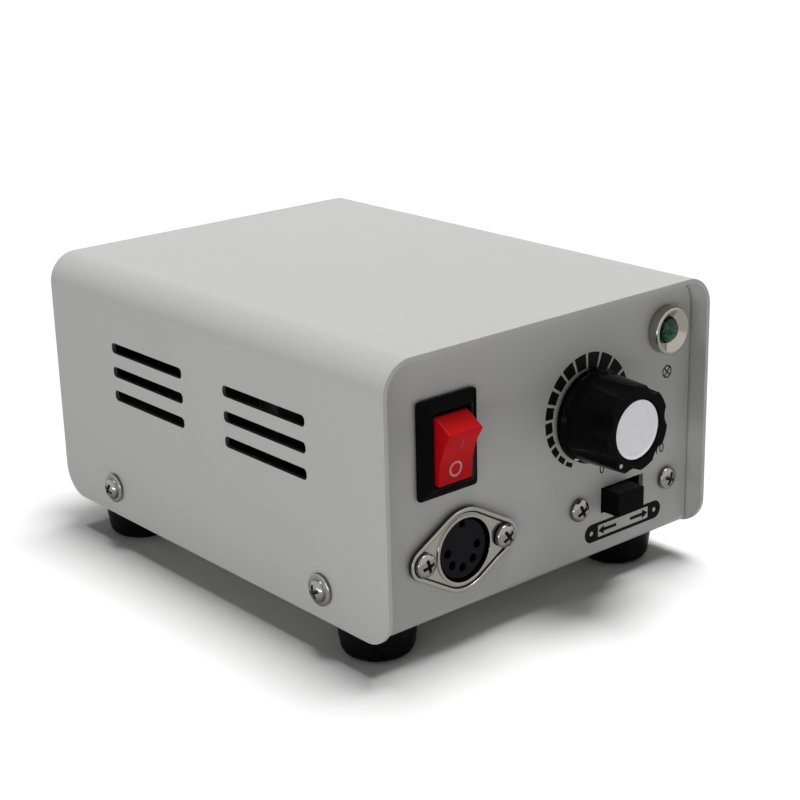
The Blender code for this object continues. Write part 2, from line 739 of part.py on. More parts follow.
def rear_panel_holes():
    rounds = [
        (FUSE_BODY_RADIUS + SEAT_GAP, FUSE_X, FUSE_RISE),
        (GLAND_BODY_RADIUS + SEAT_GAP, GLAND_X, GLAND_RISE),
        (PEDAL_BUSH_RADIUS + SEAT_GAP, PEDAL_X, PEDAL_RISE),
    ]
    return [
        rear_hole(circle(radius, ROUND_SIDES, x, COVER_BOTTOM_Z + rise)) for radius, x, rise in rounds
    ]


def foot_places():
    """Name, x and y of each foot."""
    x = {"left": FOOT_FROM_LEFT - COVER_HALF_WIDTH, "right": COVER_HALF_WIDTH - FOOT_FROM_RIGHT}
    y = {"front": COVER_FRONT_Y + FOOT_FROM_FRONT, "rear": COVER_REAR_Y - FOOT_FROM_REAR}
    return [(f"{row}_{side}", x[side], y[row]) for row, _ in ROWS for side, _ in SIDES]


def post_places():
    """Name, x and y of each post under the circuit board."""
    x, y = BOARD_WIDTH / 2 - POST_INSET, BOARD_DEPTH / 2 - POST_INSET
    middle = BOARD_MIDDLE_Y
    return [(f"{row}_{side}", a * x, middle + b * y) for row, b in ROWS for side, a in SIDES]


def strap_screw_reach():
    """How far from the transformer's middle its strap is screwed down."""
    return CORE_WIDTH / 2 + SEAT_GAP + STRAP_THICKNESS + STRAP_FOOT / 2


def make_chassis():
    profile = chassis_profile()
    body = along_x(prism(profile, -PANEL_HALF_WIDTH, PANEL_HALF_WIDTH))
    chassis = mesh_object("chassis", body)
    low_y = PANEL_FACE_Y + FLANGE_RELIEF
    high_y = REAR_FACE_Y - FLANGE_RELIEF
    flanges = []
    for way in (-1, 1):
        x = sorted((way * PANEL_HALF_WIDTH, way * (PANEL_HALF_WIDTH - CHASSIS_SHEET)))
        top = CHASSIS_BOTTOM_Z + FLANGE_HEIGHT
        flanges.append(block((x[0], low_y, CHASSIS_BOTTOM_Z), (x[1], high_y, top)))
    join(chassis, gathered(flanges))
    cutters = front_panel_holes() + rear_panel_holes()
    corner = COVER_BEND_RADIUS - COVER_SHEET - SEAT_GAP
    for way in (-1, 1):
        waste = corner_waste(way * PANEL_HALF_WIDTH, PANEL_TOP_Z, corner, -way, -1)
        cutters.append(
            along_y(prism(waste, -REAR_FACE_Y - CUT_OVERRUN, -PANEL_FACE_Y + CUT_OVERRUN))
        )
    reach = PANEL_HALF_WIDTH + CUT_OVERRUN
    for y, z in side_holes():
        cutters.append(along_x(prism(circle(SCREW_HOLE_RADIUS, SCREW_SIDES, y, z), -reach, reach)))
    cutters += [base_hole(x, y) for _, x, y in foot_places() + post_places()]
    for way in (-1, 1):
        cutters.append(base_hole(way * strap_screw_reach(), TRANSFORMER_Y))
    cut(chassis, gathered(cutters))
    return dress(chassis, "chassis_paint")


def cross_cutter(top):
    """The recess of a cross-head screw whose head ends at the given height."""
    low, high = top - CROSS_DEPTH, top + CUT_OVERRUN
    arm = mesh_object("arm", prism(rectangle(CROSS_SPAN, CROSS_WIDTH), low, high))
    join(arm, prism(rectangle(CROSS_WIDTH, CROSS_SPAN), low, high))
    whole = bmesh.new()
    whole.from_mesh(arm.data)
    bpy.data.objects.remove(arm)
    return whole


def domed_head(radius, height, rim):
    """(radius, height) points of a screw head, from its edge to its middle."""
    points = [(radius, 0.0), (radius, rim)]
    crown = radius * DOME_RADIUS_SHARE
    for k in range(EDGE_STEPS + 1):
        a = pi / 2 * k / EDGE_STEPS
        points.append((crown + (radius - crown) * cos(a), rim + (height - rim) * sin(a)))
    unique = points[:2] + points[3:]
    return unique + [(0.0, height)]


def pan_head():
    return domed_head(PAN_HEAD_RADIUS, PAN_HEAD_HEIGHT, PAN_RIM_HEIGHT)


def make_screw(name, head, length):
    """A screw with its head's underside at z = 0, pointing down."""
    profile = [(0.0, -length), (SCREW_RADIUS, -length), (SCREW_RADIUS, 0.0)] + head
    screw = mesh_object(name, turned(profile, SCREW_SIDES))
    cut(screw, cross_cutter(head[-1][1]))
    return dress(screw, "zinc_screw")


def washer_head():
    """A dome on a thin flange."""
    dome = domed_head(
        WASHER_HEAD_RADIUS * DOME_RADIUS_SHARE, WASHER_HEAD_HEIGHT, WASHER_RIM_HEIGHT
    )
    rim = [(WASHER_HEAD_RADIUS, 0.0), (WASHER_HEAD_RADIUS, WASHER_RIM_HEIGHT)]
    return rim + dome[1:]


def make_cover_screws():
    seats = [
        (f"cover_screw_{row}_{side}", way, y, z)
        for (row, _), (y, z) in zip(ROWS, side_holes())
        for side, way in SIDES
    ]
    names = [name for name, *_ in seats]
    first = make_screw(names[0], washer_head(), COVER_SCREW_LENGTH)
    for screw, (_, way, y, z) in zip(alike(first, names), seats):
        x = way * (COVER_HALF_WIDTH + SEAT_GAP)
        place(screw, None, (x, y, z), (0.0, way * pi / 2, 0.0))


def make_feet():
    rounding = []
    centre = FOOT_SOLE_RADIUS - FOOT_EDGE_RADIUS
    for k in range(EDGE_STEPS + 1):
        a = pi / 2 * k / EDGE_STEPS
        rounding.append(
            (centre + FOOT_EDGE_RADIUS * sin(a), FOOT_EDGE_RADIUS - FOOT_EDGE_RADIUS * cos(a))
        )
    loop = [(FOOT_WELL_RADIUS, 0.0)] + rounding
    loop += [(FOOT_TOP_RADIUS, FOOT_HEIGHT), (SCREW_HOLE_RADIUS, FOOT_HEIGHT)]
    loop += [(SCREW_HOLE_RADIUS, FOOT_WELL_DEPTH), (FOOT_WELL_RADIUS, FOOT_WELL_DEPTH)]
    places = foot_places()
    foot_names = [f"foot_{name}" for name, _, _ in places]
    screw_names = [f"foot_screw_{name}" for name, _, _ in places]
    length = FOOT_HEIGHT - FOOT_WELL_DEPTH + BASE_SCREW_LENGTH
    first_foot = dress(mesh_object(foot_names[0], tube(loop, ROUND_SIDES)), "foot_rubber")
    first_screw = make_screw(screw_names[0], pan_head(), length)
    feet, screws = alike(first_foot, foot_names), alike(first_screw, screw_names)
    for foot, screw, (_, x, y) in zip(feet, screws, places):
        place(foot, None, (x, y, 0.0))
        place(screw, None, (x, y, FOOT_WELL_DEPTH - SEAT_GAP), (pi, 0.0, 0.0))


# Front panel


def pin_across(radius, reach):
    """A round pin along x, its middle at the origin."""
    return along_x(prism(circle(radius, SCREW_SIDES), -reach, reach))


def make_power_switch(front):
    bezel = rounded_rectangle(BEZEL_WIDTH, BEZEL_HEIGHT, BEZEL_CORNER_RADIUS)
    trim = 2 * BEZEL_CHAMFER
    bezel_top = rounded_rectangle(BEZEL_WIDTH - trim, BEZEL_HEIGHT - trim, BEZEL_CORNER_RADIUS)
    shell = rounded_rectangle(HOUSING_WIDTH, HOUSING_HEIGHT, HOUSING_CORNER_RADIUS)
    well = rounded_rectangle(WELL_WIDTH, WELL_HEIGHT, HOUSING_CORNER_RADIUS)
    inset, land = trim + 2 * FRAME_INSET, 2 * FRAME_LAND
    frame_foot = rounded_rectangle(BEZEL_WIDTH - inset, BEZEL_HEIGHT - inset, BEZEL_CORNER_RADIUS)
    frame_top = rounded_rectangle(WELL_WIDTH + land, WELL_HEIGHT + land, BEZEL_CORNER_RADIUS)
    sections = [
        (shell, -HOUSING_DEPTH),
        (shell, SEAT_GAP),
        (bezel, SEAT_GAP),
        (bezel, BEZEL_STAND - BEZEL_CHAMFER),
        (bezel_top, BEZEL_STAND),
        (frame_foot, BEZEL_STAND),
        (frame_top, FRAME_STAND),
        (well, FRAME_STAND),
        (well, -WELL_DEPTH),
    ]
    housing = mesh_object("power_switch_housing", loft(sections))
    pin_hole = pin_across(PIVOT_PIN_RADIUS + RUNNING_GAP, ROCKER_WIDTH / 2 + PIVOT_PIN_REACH + SEAT_GAP)
    cut(housing, moved(pin_hole, z=-ROCKER_PIVOT_DEPTH))
    place(dress(housing, "black_plastic"), front, (ROCKER_X, ROCKER_RISE, 0.0))

    make_rocker(front)
    for name, way in (("upper", 1), ("lower", -1)):
        y = way * BLADE_SPACING / 2
        low = (-BLADE_WIDTH / 2, y - BLADE_THICKNESS / 2, -HOUSING_DEPTH - SEAT_GAP - BLADE_LENGTH)
        high = (BLADE_WIDTH / 2, y + BLADE_THICKNESS / 2, -HOUSING_DEPTH - SEAT_GAP)
        blade = mesh_object(f"power_switch_terminal_{name}", block(low, high))
        place(dress(blade, "brass"), front, (ROCKER_X, ROCKER_RISE, 0.0))


def paddle_profile():
    """The rocker from its side about its pivot: (up, out) points with a hollow face."""
    half, hollow = PADDLE_HALF_HEIGHT, PADDLE_HOLLOW
    radius = (half * half + hollow * hollow) / (2 * hollow)
    sweep = atan2(half, radius - hollow)
    centre = PADDLE_REACH + radius - hollow
    face = arc(0, centre, radius, -pi / 2 + sweep, -pi / 2 - sweep, BEND_STEPS)
    shoulder, skirt = PADDLE_SHOULDER_REACH, PADDLE_SHOULDER_REACH - PADDLE_SKIRT
    wide, hub = PADDLE_SHOULDER_HALF_HEIGHT, PADDLE_HUB_RADIUS
    lower = [(-wide, shoulder), (-wide, skirt), (-hub, -hub)]
    upper = [(hub, -hub), (wide, skirt), (wide, shoulder)]
    return face + lower + upper


def make_rocker(front):
    """Pivots about its local x. At rest its lower end is pressed in: off."""
    half = ROCKER_WIDTH / 2
    rocker = mesh_object("power_rocker", along_x(prism(paddle_profile(), -half, half)))
    join(rocker, pin_across(PIVOT_PIN_RADIUS, half + PIVOT_PIN_REACH))
    location = (ROCKER_X, ROCKER_RISE, -ROCKER_PIVOT_DEPTH)
    place(dress(rocker, "red_plastic"), front, location, (ROCKER_TILT, 0.0, 0.0))


def make_handpiece_socket(front):
    spacing = SOCKET_SCREW_SPACING
    plate = eared_plate(FLANGE_PLATE_RADIUS, FLANGE_EAR_RADIUS, spacing)
    shell = mesh_object("handpiece_socket_shell", prism(plate, SEAT_GAP, FLANGE_PLATE_STAND))
    join(shell, prism(circle(SOCKET_BARREL_RADIUS, FINE_SIDES), -SOCKET_BARREL_DEPTH, FLANGE_PLATE_STAND / 2))
    inset = FLANGE_RIM_WIDTH
    dish = eared_plate(FLANGE_PLATE_RADIUS - inset, FLANGE_EAR_RADIUS - inset, spacing)
    floor = FLANGE_PLATE_STAND - FLANGE_RIM_HEIGHT
    mouth_low = -SOCKET_BARREL_DEPTH - CUT_OVERRUN
    high = FLANGE_PLATE_STAND + CUT_OVERRUN
    cut(shell, prism(dish, floor, high))
    cut(shell, prism(circle(SOCKET_MOUTH_RADIUS, FINE_SIDES), mouth_low, high))
    ears = [circle(SCREW_HOLE_RADIUS, SCREW_SIDES, way * spacing / 2) for way in (-1, 1)]
    cut(shell, gathered([prism(points, -CUT_OVERRUN, high) for points in ears]))
    place(dress(shell, "nickel"), front, (SOCKET_X, SOCKET_RISE, 0.0))

    base_radius = SOCKET_MOUTH_RADIUS - SEAT_GAP
    face = floor - INSERT_RECESS
    base_top = INSERT_BASE_THICKNESS - SOCKET_BARREL_DEPTH
    profile = [
        (0.0, -SOCKET_BARREL_DEPTH),
        (base_radius, -SOCKET_BARREL_DEPTH),
        (base_radius, base_top),
        (INSERT_NOSE_RADIUS, base_top),
        (INSERT_NOSE_RADIUS, face),
        (0.0, face),
    ]
    insert = mesh_object("handpiece_socket_insert", turned(profile, ROUND_SIDES))
    contacts = []
    for k in range(CONTACT_COUNT):
        a = radians(CONTACT_STEP_DEGREES) * (k - (CONTACT_COUNT - 1) / 2) - pi / 2
        x, y = CONTACT_CIRCLE_RADIUS * cos(a), CONTACT_CIRCLE_RADIUS * sin(a)
        points = circle(CONTACT_RADIUS, EDGE_STEPS * 2, x, y)
        contacts.append(prism(points, face - CONTACT_DEPTH, face + CUT_OVERRUN))
    cut(insert, gathered(contacts))
    place(dress(insert, "black_plastic"), front, (SOCKET_X, SOCKET_RISE, 0.0))


def make_panel_screws(front):
    """The socket's two screws with their nuts, and the direction switch's two screws."""
    seat = FLANGE_PLATE_STAND - FLANGE_RIM_HEIGHT + SEAT_GAP
    switches = ("handpiece_socket", "direction_switch")
    names = [f"{switch}_screw_{side}" for switch in switches for side, _ in SIDES]
    screws = alike(make_screw(names[0], pan_head(), PANEL_SCREW_LENGTH), names)
    nut_names = [f"handpiece_socket_nut_{side}" for side, _ in SIDES]
    nuts = alike(make_nut(nut_names[0], NUT_FLATS, NUT_HEIGHT, SCREW_HOLE_RADIUS), nut_names)
    for k, (_, way) in enumerate(SIDES):
        socket_x = SOCKET_X + way * SOCKET_SCREW_SPACING / 2
        place(screws[k], front, (socket_x, SOCKET_RISE, seat))
        place(nuts[k], front, (socket_x, SOCKET_RISE, BEHIND_PANEL - NUT_HEIGHT))
        slide_x = SLIDE_X + way * SLIDE_SCREW_SPACING / 2
        place(screws[k + len(SIDES)], front, (slide_x, SLIDE_RISE, SEAT_GAP))


def make_nut(name, flats, height, bore, finish_name="zinc_screw"):
    """A hexagon nut from z = 0 up to its height."""
    nut = mesh_object(name, prism(hexagon(flats), 0.0, height))
    cut(nut, prism(circle(bore, ROUND_SIDES), -CUT_OVERRUN, height + CUT_OVERRUN))
    return dress(nut, finish_name)


def make_speed_knob(front):
    """The knob, its disc and the shaft turn together about the knob's axis."""
    sides = KNOB_LOBES * LOBE_STEPS
    face = KNOB_STAND
    cap_front = face - CAP_SUNK
    cap_back = cap_front - CAP_THICKNESS
    bore = SHAFT_RADIUS + SEAT_GAP
    lip = KNOB_FLOAT
    flank = fluted_circle(KNOB_FACE_RADIUS, KNOB_FLUTE_DEPTH, KNOB_LOBES, sides)
    trimmed = KNOB_FACE_RADIUS - KNOB_FACE_CHAMFER
    front_edge = fluted_circle(trimmed, KNOB_FLUTE_DEPTH, KNOB_LOBES, sides)
    sections = [
        (circle(bore, sides), KNOB_BORE_DEPTH),
        (circle(bore, sides), KNOB_HOLLOW_DEPTH),
        (circle(KNOB_HOLLOW_RADIUS, sides), KNOB_HOLLOW_DEPTH),
        (circle(KNOB_HOLLOW_RADIUS, sides), lip),
        (circle(KNOB_SKIRT_RADIUS, sides), lip),
        (circle(KNOB_SKIRT_RADIUS, sides), lip + KNOB_SKIRT_HEIGHT / 2),
        (circle(KNOB_NECK_RADIUS, sides), lip + KNOB_SKIRT_HEIGHT),
        (flank, face - KNOB_FACE_CHAMFER),
        (front_edge, face),
        (circle(CAP_RADIUS + SEAT_GAP, sides), face),
        (circle(CAP_RADIUS + SEAT_GAP, sides), cap_back - SEAT_GAP),
    ]
    axis = (KNOB_X, KNOB_RISE, 0.0)
    place(dress(mesh_object("speed_knob", loft(sections)), "black_plastic"), front, axis)

    disc = [
        (0.0, cap_back),
        (CAP_RADIUS, cap_back),
        (CAP_RADIUS, cap_front - CAP_EDGE),
        (CAP_RADIUS - CAP_EDGE, cap_front),
        (0.0, cap_front),
    ]
    cap = mesh_object("speed_knob_cap", turned(disc, ROUND_SIDES))
    place(dress(cap, "silver_disc"), front, axis)

    tip = KNOB_BORE_DEPTH - SEAT_GAP
    profile = [
        (0.0, -SHAFT_TAIL),
        (SHAFT_RADIUS, -SHAFT_TAIL),
        (SHAFT_RADIUS, tip - SHAFT_CHAMFER),
        (SHAFT_RADIUS - SHAFT_CHAMFER, tip),
        (0.0, tip),
    ]
    shaft = mesh_object("speed_pot_shaft", turned(profile, ROUND_SIDES))
    place(dress(shaft, "aluminium"), front, axis)


def make_speed_pot(front):
    bore = SHAFT_RADIUS + RUNNING_GAP
    rear = BEHIND_PANEL - POT_DEPTH
    profile = [
        (0.0, rear),
        (POT_RADIUS, rear),
        (POT_RADIUS, BEHIND_PANEL),
        (BUSH_RADIUS, BEHIND_PANEL),
        (BUSH_RADIUS, BUSH_STAND),
        (bore, BUSH_STAND),
        (bore, -SHAFT_TAIL - SEAT_GAP),
        (0.0, -SHAFT_TAIL - SEAT_GAP),
    ]
    body = mesh_object("speed_pot_body", turned(profile, ROUND_SIDES))
    tabs = []
    z = (BEHIND_PANEL + rear) / 2
    for k in range(POT_TAB_COUNT):
        x = POT_TAB_SPACING * (k - (POT_TAB_COUNT - 1) / 2)
        low = (x - POT_TAB_WIDTH / 2, -POT_RADIUS - POT_TAB_LENGTH, z - POT_TAB_THICKNESS / 2)
        high = (x + POT_TAB_WIDTH / 2, -POT_RADIUS / 2, z + POT_TAB_THICKNESS / 2)
        tabs.append(block(low, high))
    join(body, gathered(tabs))
    place(dress(body, "nickel"), front, (KNOB_X, KNOB_RISE, 0.0))
    nut = make_nut("speed_pot_nut", POT_NUT_FLATS, POT_NUT_HEIGHT, BUSH_RADIUS + THREAD_GAP)
    place(nut, front, (KNOB_X, KNOB_RISE, SEAT_GAP))


def make_pilot_lamp(front):
    stand, rim = LAMP_BEZEL_STAND, LAMP_RIM_WIDTH
    base = SEAT_GAP - LAMP_LENS_DEPTH
    crest = LAMP_BEZEL_RADIUS - rim
    profile = [
        (0.0, -LAMP_BODY_DEPTH),
        (LAMP_BODY_RADIUS, -LAMP_BODY_DEPTH),
        (LAMP_BODY_RADIUS, SEAT_GAP),
        (LAMP_BEZEL_RADIUS, SEAT_GAP),
        (LAMP_BEZEL_RADIUS, stand - LAMP_RIM_HEIGHT),
        (crest, stand),
        (crest - rim, stand),
        (LAMP_BORE_RADIUS, stand - LAMP_RIM_HEIGHT),
        (LAMP_BORE_RADIUS, base),
        (0.0, base),
    ]
    bezel = mesh_object("pilot_lamp_bezel", turned(profile, ROUND_SIDES))
    place(dress(bezel, "nickel"), front, (LAMP_X, LAMP_RISE, 0.0))
    radius = LAMP_BORE_RADIUS - SEAT_GAP
    shoulder = LAMP_LENS_STAND - LAMP_LENS_DOME
    dome = [(0.0, base + SEAT_GAP), (radius, base + SEAT_GAP)]
    for k in range(EDGE_STEPS):
        a = pi / 2 * k / EDGE_STEPS
        dome.append((radius * cos(a), shoulder + LAMP_LENS_DOME * sin(a)))
    lens = mesh_object("pilot_lamp_lens", turned(dome + [(0.0, LAMP_LENS_STAND)], ROUND_SIDES))
    place(dress(lens, "lens_green"), front, (LAMP_X, LAMP_RISE, 0.0))
    nut = make_nut("pilot_lamp_nut", LAMP_NUT_FLATS, LAMP_NUT_HEIGHT, LAMP_BODY_RADIUS + THREAD_GAP, "nickel")
    place(nut, front, (LAMP_X, LAMP_RISE, BEHIND_PANEL - LAMP_NUT_HEIGHT))


def make_direction_switch(front):
    """A slide switch behind the panel. Its slider stands at the left end at rest."""
    plate_back = BEHIND_PANEL - SLIDE_PLATE_THICKNESS
    can_back = BEHIND_PANEL - SLIDE_CAN_DEPTH
    body = mesh_object(
        "direction_switch_body",
        prism(rectangle(SLIDE_PLATE_LENGTH, SLIDE_PLATE_HEIGHT), plate_back, BEHIND_PANEL),
    )
    can = rectangle(SLIDE_CAN_LENGTH, SLIDE_PLATE_HEIGHT)
    join(body, prism(can, can_back, BEHIND_PANEL - SLIDE_PLATE_THICKNESS / 2))
    margin = SLIDER_SHOE_MARGIN
    length, height = slide_opening()
    shoe_top = plate_back - SEAT_GAP
    shoe_low = shoe_top - SLIDER_SHOE_THICKNESS
    cavity = rectangle(length + 2 * margin, height + 2 * margin)
    cut(body, prism(cavity, shoe_low - SEAT_GAP, plate_back))
    cut(body, prism(rectangle(length, height), shoe_low, BEHIND_PANEL + CUT_OVERRUN))
    holes = [
        prism(
            circle(SCREW_HOLE_RADIUS, SCREW_SIDES, way * SLIDE_SCREW_SPACING / 2),
            can_back,
            BEHIND_PANEL + CUT_OVERRUN,
        )
        for way in (-1, 1)
    ]
    cut(body, gathered(holes))
    place(dress(body, "nickel"), front, (SLIDE_X, SLIDE_RISE, 0.0))

    shoe = rectangle(SLIDER_LENGTH + 2 * margin, SLIDER_HEIGHT + 2 * margin)
    slider = mesh_object("direction_slider", prism(shoe, shoe_low, shoe_top))
    stem = rectangle(SLIDER_LENGTH, SLIDER_HEIGHT)
    join(slider, prism(stem, shoe_low, SLIDER_STAND))
    location = (SLIDE_X - SLIDER_TRAVEL / 2, SLIDE_RISE, 0.0)
    place(dress(slider, "black_plastic"), front, location)


# Inside


def make_transformer():
    """An E-I core with its winding round the middle leg, under a strap screwed to the base."""
    middle = (0.0, TRANSFORMER_Y, BASE_TOP_Z)
    leg = CORE_WIDTH - 2 * CORE_YOKE - 2 * WINDOW_WIDTH
    low, high = SEAT_GAP, SEAT_GAP + CORE_HEIGHT
    core = mesh_object("transformer_core", prism(rectangle(CORE_WIDTH, CORE_STACK), low, high))
    windows = []
    bottom = low + CORE_YOKE
    for way in (-1, 1):
        x = way * (leg + WINDOW_WIDTH) / 2
        outline = rectangle(WINDOW_WIDTH, CORE_STACK + 2 * CUT_OVERRUN, x)
        windows.append(prism(outline, bottom, bottom + WINDOW_HEIGHT))
    cut(core, gathered(windows))
    place(dress(core, "core_iron"), None, middle)

    inner = (leg + 2 * SEAT_GAP, CORE_STACK + 2 * SEAT_GAP)
    outer = [size + 2 * COIL_THICKNESS for size in inner]
    coil_low, coil_high = bottom + SEAT_GAP, bottom + WINDOW_HEIGHT - SEAT_GAP
    outline = rounded_rectangle(*outer, COIL_CORNER_RADIUS)
    coil = mesh_object("transformer_coil", prism(outline, coil_low, coil_high))
    cut(coil, prism(rectangle(*inner), coil_low - CUT_OVERRUN, coil_high + CUT_OVERRUN))
    place(dress(coil, "coil_tape"), None, middle)

    half = CORE_WIDTH / 2 + SEAT_GAP
    outside, foot = half + STRAP_THICKNESS, half + STRAP_THICKNESS + STRAP_FOOT
    roof = high + SEAT_GAP
    right = [
        (foot, SEAT_GAP),
        (foot, SEAT_GAP + STRAP_THICKNESS),
        (outside, SEAT_GAP + STRAP_THICKNESS),
        (outside, roof + STRAP_THICKNESS),
    ]
    under = [(half, SEAT_GAP), (half, roof)]
    left = [(-x, z) for x, z in reversed(right)]
    profile = right + left + [(-half, SEAT_GAP), (-half, roof)] + list(reversed(under))
    strap = mesh_object("transformer_strap", along_y(prism(profile, -STRAP_WIDTH / 2, STRAP_WIDTH / 2)))
    holes = [
        prism(
            circle(SCREW_HOLE_RADIUS, SCREW_SIDES, way * strap_screw_reach()),
            -CUT_OVERRUN,
            STRAP_THICKNESS + CUT_OVERRUN,
        )
        for way in (-1, 1)
    ]
    cut(strap, gathered(holes))
    place(dress(strap, "zinc_screw"), None, middle)

    names = [f"transformer_screw_{side}" for side, _ in SIDES]
    z = BASE_TOP_Z + STRAP_THICKNESS + 2 * SEAT_GAP
    screws = alike(make_screw(names[0], pan_head(), BASE_SCREW_LENGTH), names)
    for screw, (_, way) in zip(screws, SIDES):
        place(screw, None, (way * strap_screw_reach(), TRANSFORMER_Y, z))


def make_board():
    z = BASE_TOP_Z + BOARD_LIFT
    middle_y = BOARD_MIDDLE_Y
    outline = rectangle(BOARD_WIDTH, BOARD_DEPTH)
    board = mesh_object("circuit_board", prism(outline, z, z + BOARD_THICKNESS))
    neck_hole = POST_NECK_RADIUS + SEAT_GAP
    holes = []
    for _, x, y in post_places():
        points = circle(neck_hole, SCREW_SIDES, x, y - middle_y)
        holes.append(prism(points, z - CUT_OVERRUN, z + BOARD_THICKNESS + CUT_OVERRUN))
    cut(board, gathered(holes))
    place(dress(board, "board_green"), None, (0.0, middle_y, 0.0))

    neck, tip = POST_NECK_RADIUS, POST_NECK_RADIUS / 2
    foot = CHASSIS_BOTTOM_Z - POST_TIP_HEIGHT
    profile = [
        (0.0, foot),
        (tip, foot),
        (neck, foot + POST_TIP_HEIGHT / 2),
        (neck, BASE_TOP_Z + SEAT_GAP),
        (POST_RADIUS, BASE_TOP_Z + SEAT_GAP),
        (POST_RADIUS, z - SEAT_GAP),
        (neck, z - SEAT_GAP),
        (neck, z + BOARD_THICKNESS + POST_TIP_HEIGHT / 2),
        (tip, z + BOARD_THICKNESS + POST_TIP_HEIGHT),
        (0.0, z + BOARD_THICKNESS + POST_TIP_HEIGHT),
    ]
    places = post_places()
    names = [f"board_post_{name}" for name, _, _ in places]
    first = dress(mesh_object(names[0], turned(profile, SCREW_SIDES)), "white_nylon")
    for post, (_, x, y) in zip(alike(first, names), places):
        place(post, None, (x, y, 0.0))


def make_board_parts():
    """The capacitor, the rectifier, and the transistor on its heat sink, each seated on the board."""
    z = BASE_TOP_Z + BOARD_LIFT + BOARD_THICKNESS + SEAT_GAP
    y = BOARD_MIDDLE_Y
    groove, radius, height = CAPACITOR_GROOVE, CAPACITOR_RADIUS, CAPACITOR_HEIGHT
    profile = [
        (0.0, 0.0),
        (radius - groove, 0.0),
        (radius, groove),
        (radius, 2 * groove),
        (radius - groove, 3 * groove),
        (radius - groove, 4 * groove),
        (radius, 5 * groove),
        (radius, height - groove),
        (radius - groove, height),
        (0.0, height),
    ]
    capacitor = mesh_object("smoothing_capacitor", turned(profile, ROUND_SIDES))
    place(dress(capacitor, "capacitor_sleeve"), None, (CAPACITOR_X, y, z))

    chamfer = RECTIFIER_THICKNESS / 2
    half = RECTIFIER_WIDTH / 2
    outline = [
        (-half, 0.0),
        (half, 0.0),
        (half, RECTIFIER_HEIGHT - chamfer),
        (half - chamfer, RECTIFIER_HEIGHT),
        (-half, RECTIFIER_HEIGHT),
    ]
    body = along_y(prism(outline, -RECTIFIER_THICKNESS / 2, RECTIFIER_THICKNESS / 2))
    rectifier = dress(mesh_object("bridge_rectifier", body), "black_plastic")
    place(rectifier, None, (RECTIFIER_X, y, z), (0.0, 0.0, pi / 2))
    make_heat_sink(y, z)


def sink_profile():
    """The comb of the heat sink from above, its flat face on the x axis."""
    half = SINK_WIDTH / 2
    gap = (SINK_WIDTH - SINK_FINS * SINK_FIN_THICKNESS) / (SINK_FINS - 1)
    tip, root = SINK_PLATE + SINK_FIN_LENGTH, SINK_PLATE
    points = [(-half, 0.0), (half, 0.0)]
    for k in range(SINK_FINS):
        right = half - k * (SINK_FIN_THICKNESS + gap)
        left = right - SINK_FIN_THICKNESS
        if k > 0:
            points.append((right, root))
        points += [(right, tip), (left, tip)]
        if k < SINK_FINS - 1:
            points.append((left, root))
    return points


def make_heat_sink(y, z):
    sink = mesh_object("heat_sink", prism(sink_profile(), 0.0, SINK_HEIGHT))
    place(dress(sink, "aluminium"), None, (SINK_X, y, z), (0.0, 0.0, pi))
    tab, body = TRANSISTOR_TAB_THICKNESS, TRANSISTOR_THICKNESS
    half = TRANSISTOR_WIDTH / 2
    low = block((-half, -body, 0.0), (half, 0.0, TRANSISTOR_BODY_HEIGHT))
    transistor = mesh_object("power_transistor", low)
    join(transistor, block((-half, -tab, TRANSISTOR_BODY_HEIGHT / 2), (half, 0.0, TRANSISTOR_HEIGHT)))
    hole_z = (TRANSISTOR_BODY_HEIGHT + TRANSISTOR_HEIGHT) / 2
    hole = prism(circle(TRANSISTOR_HOLE_RADIUS, SCREW_SIDES, 0.0, hole_z), -CUT_OVERRUN, body)
    cut(transistor, along_y(hole))
    place(dress(transistor, "black_plastic"), None, (SINK_X, y + SEAT_GAP, z), (0.0, 0.0, pi))


# Rear panel


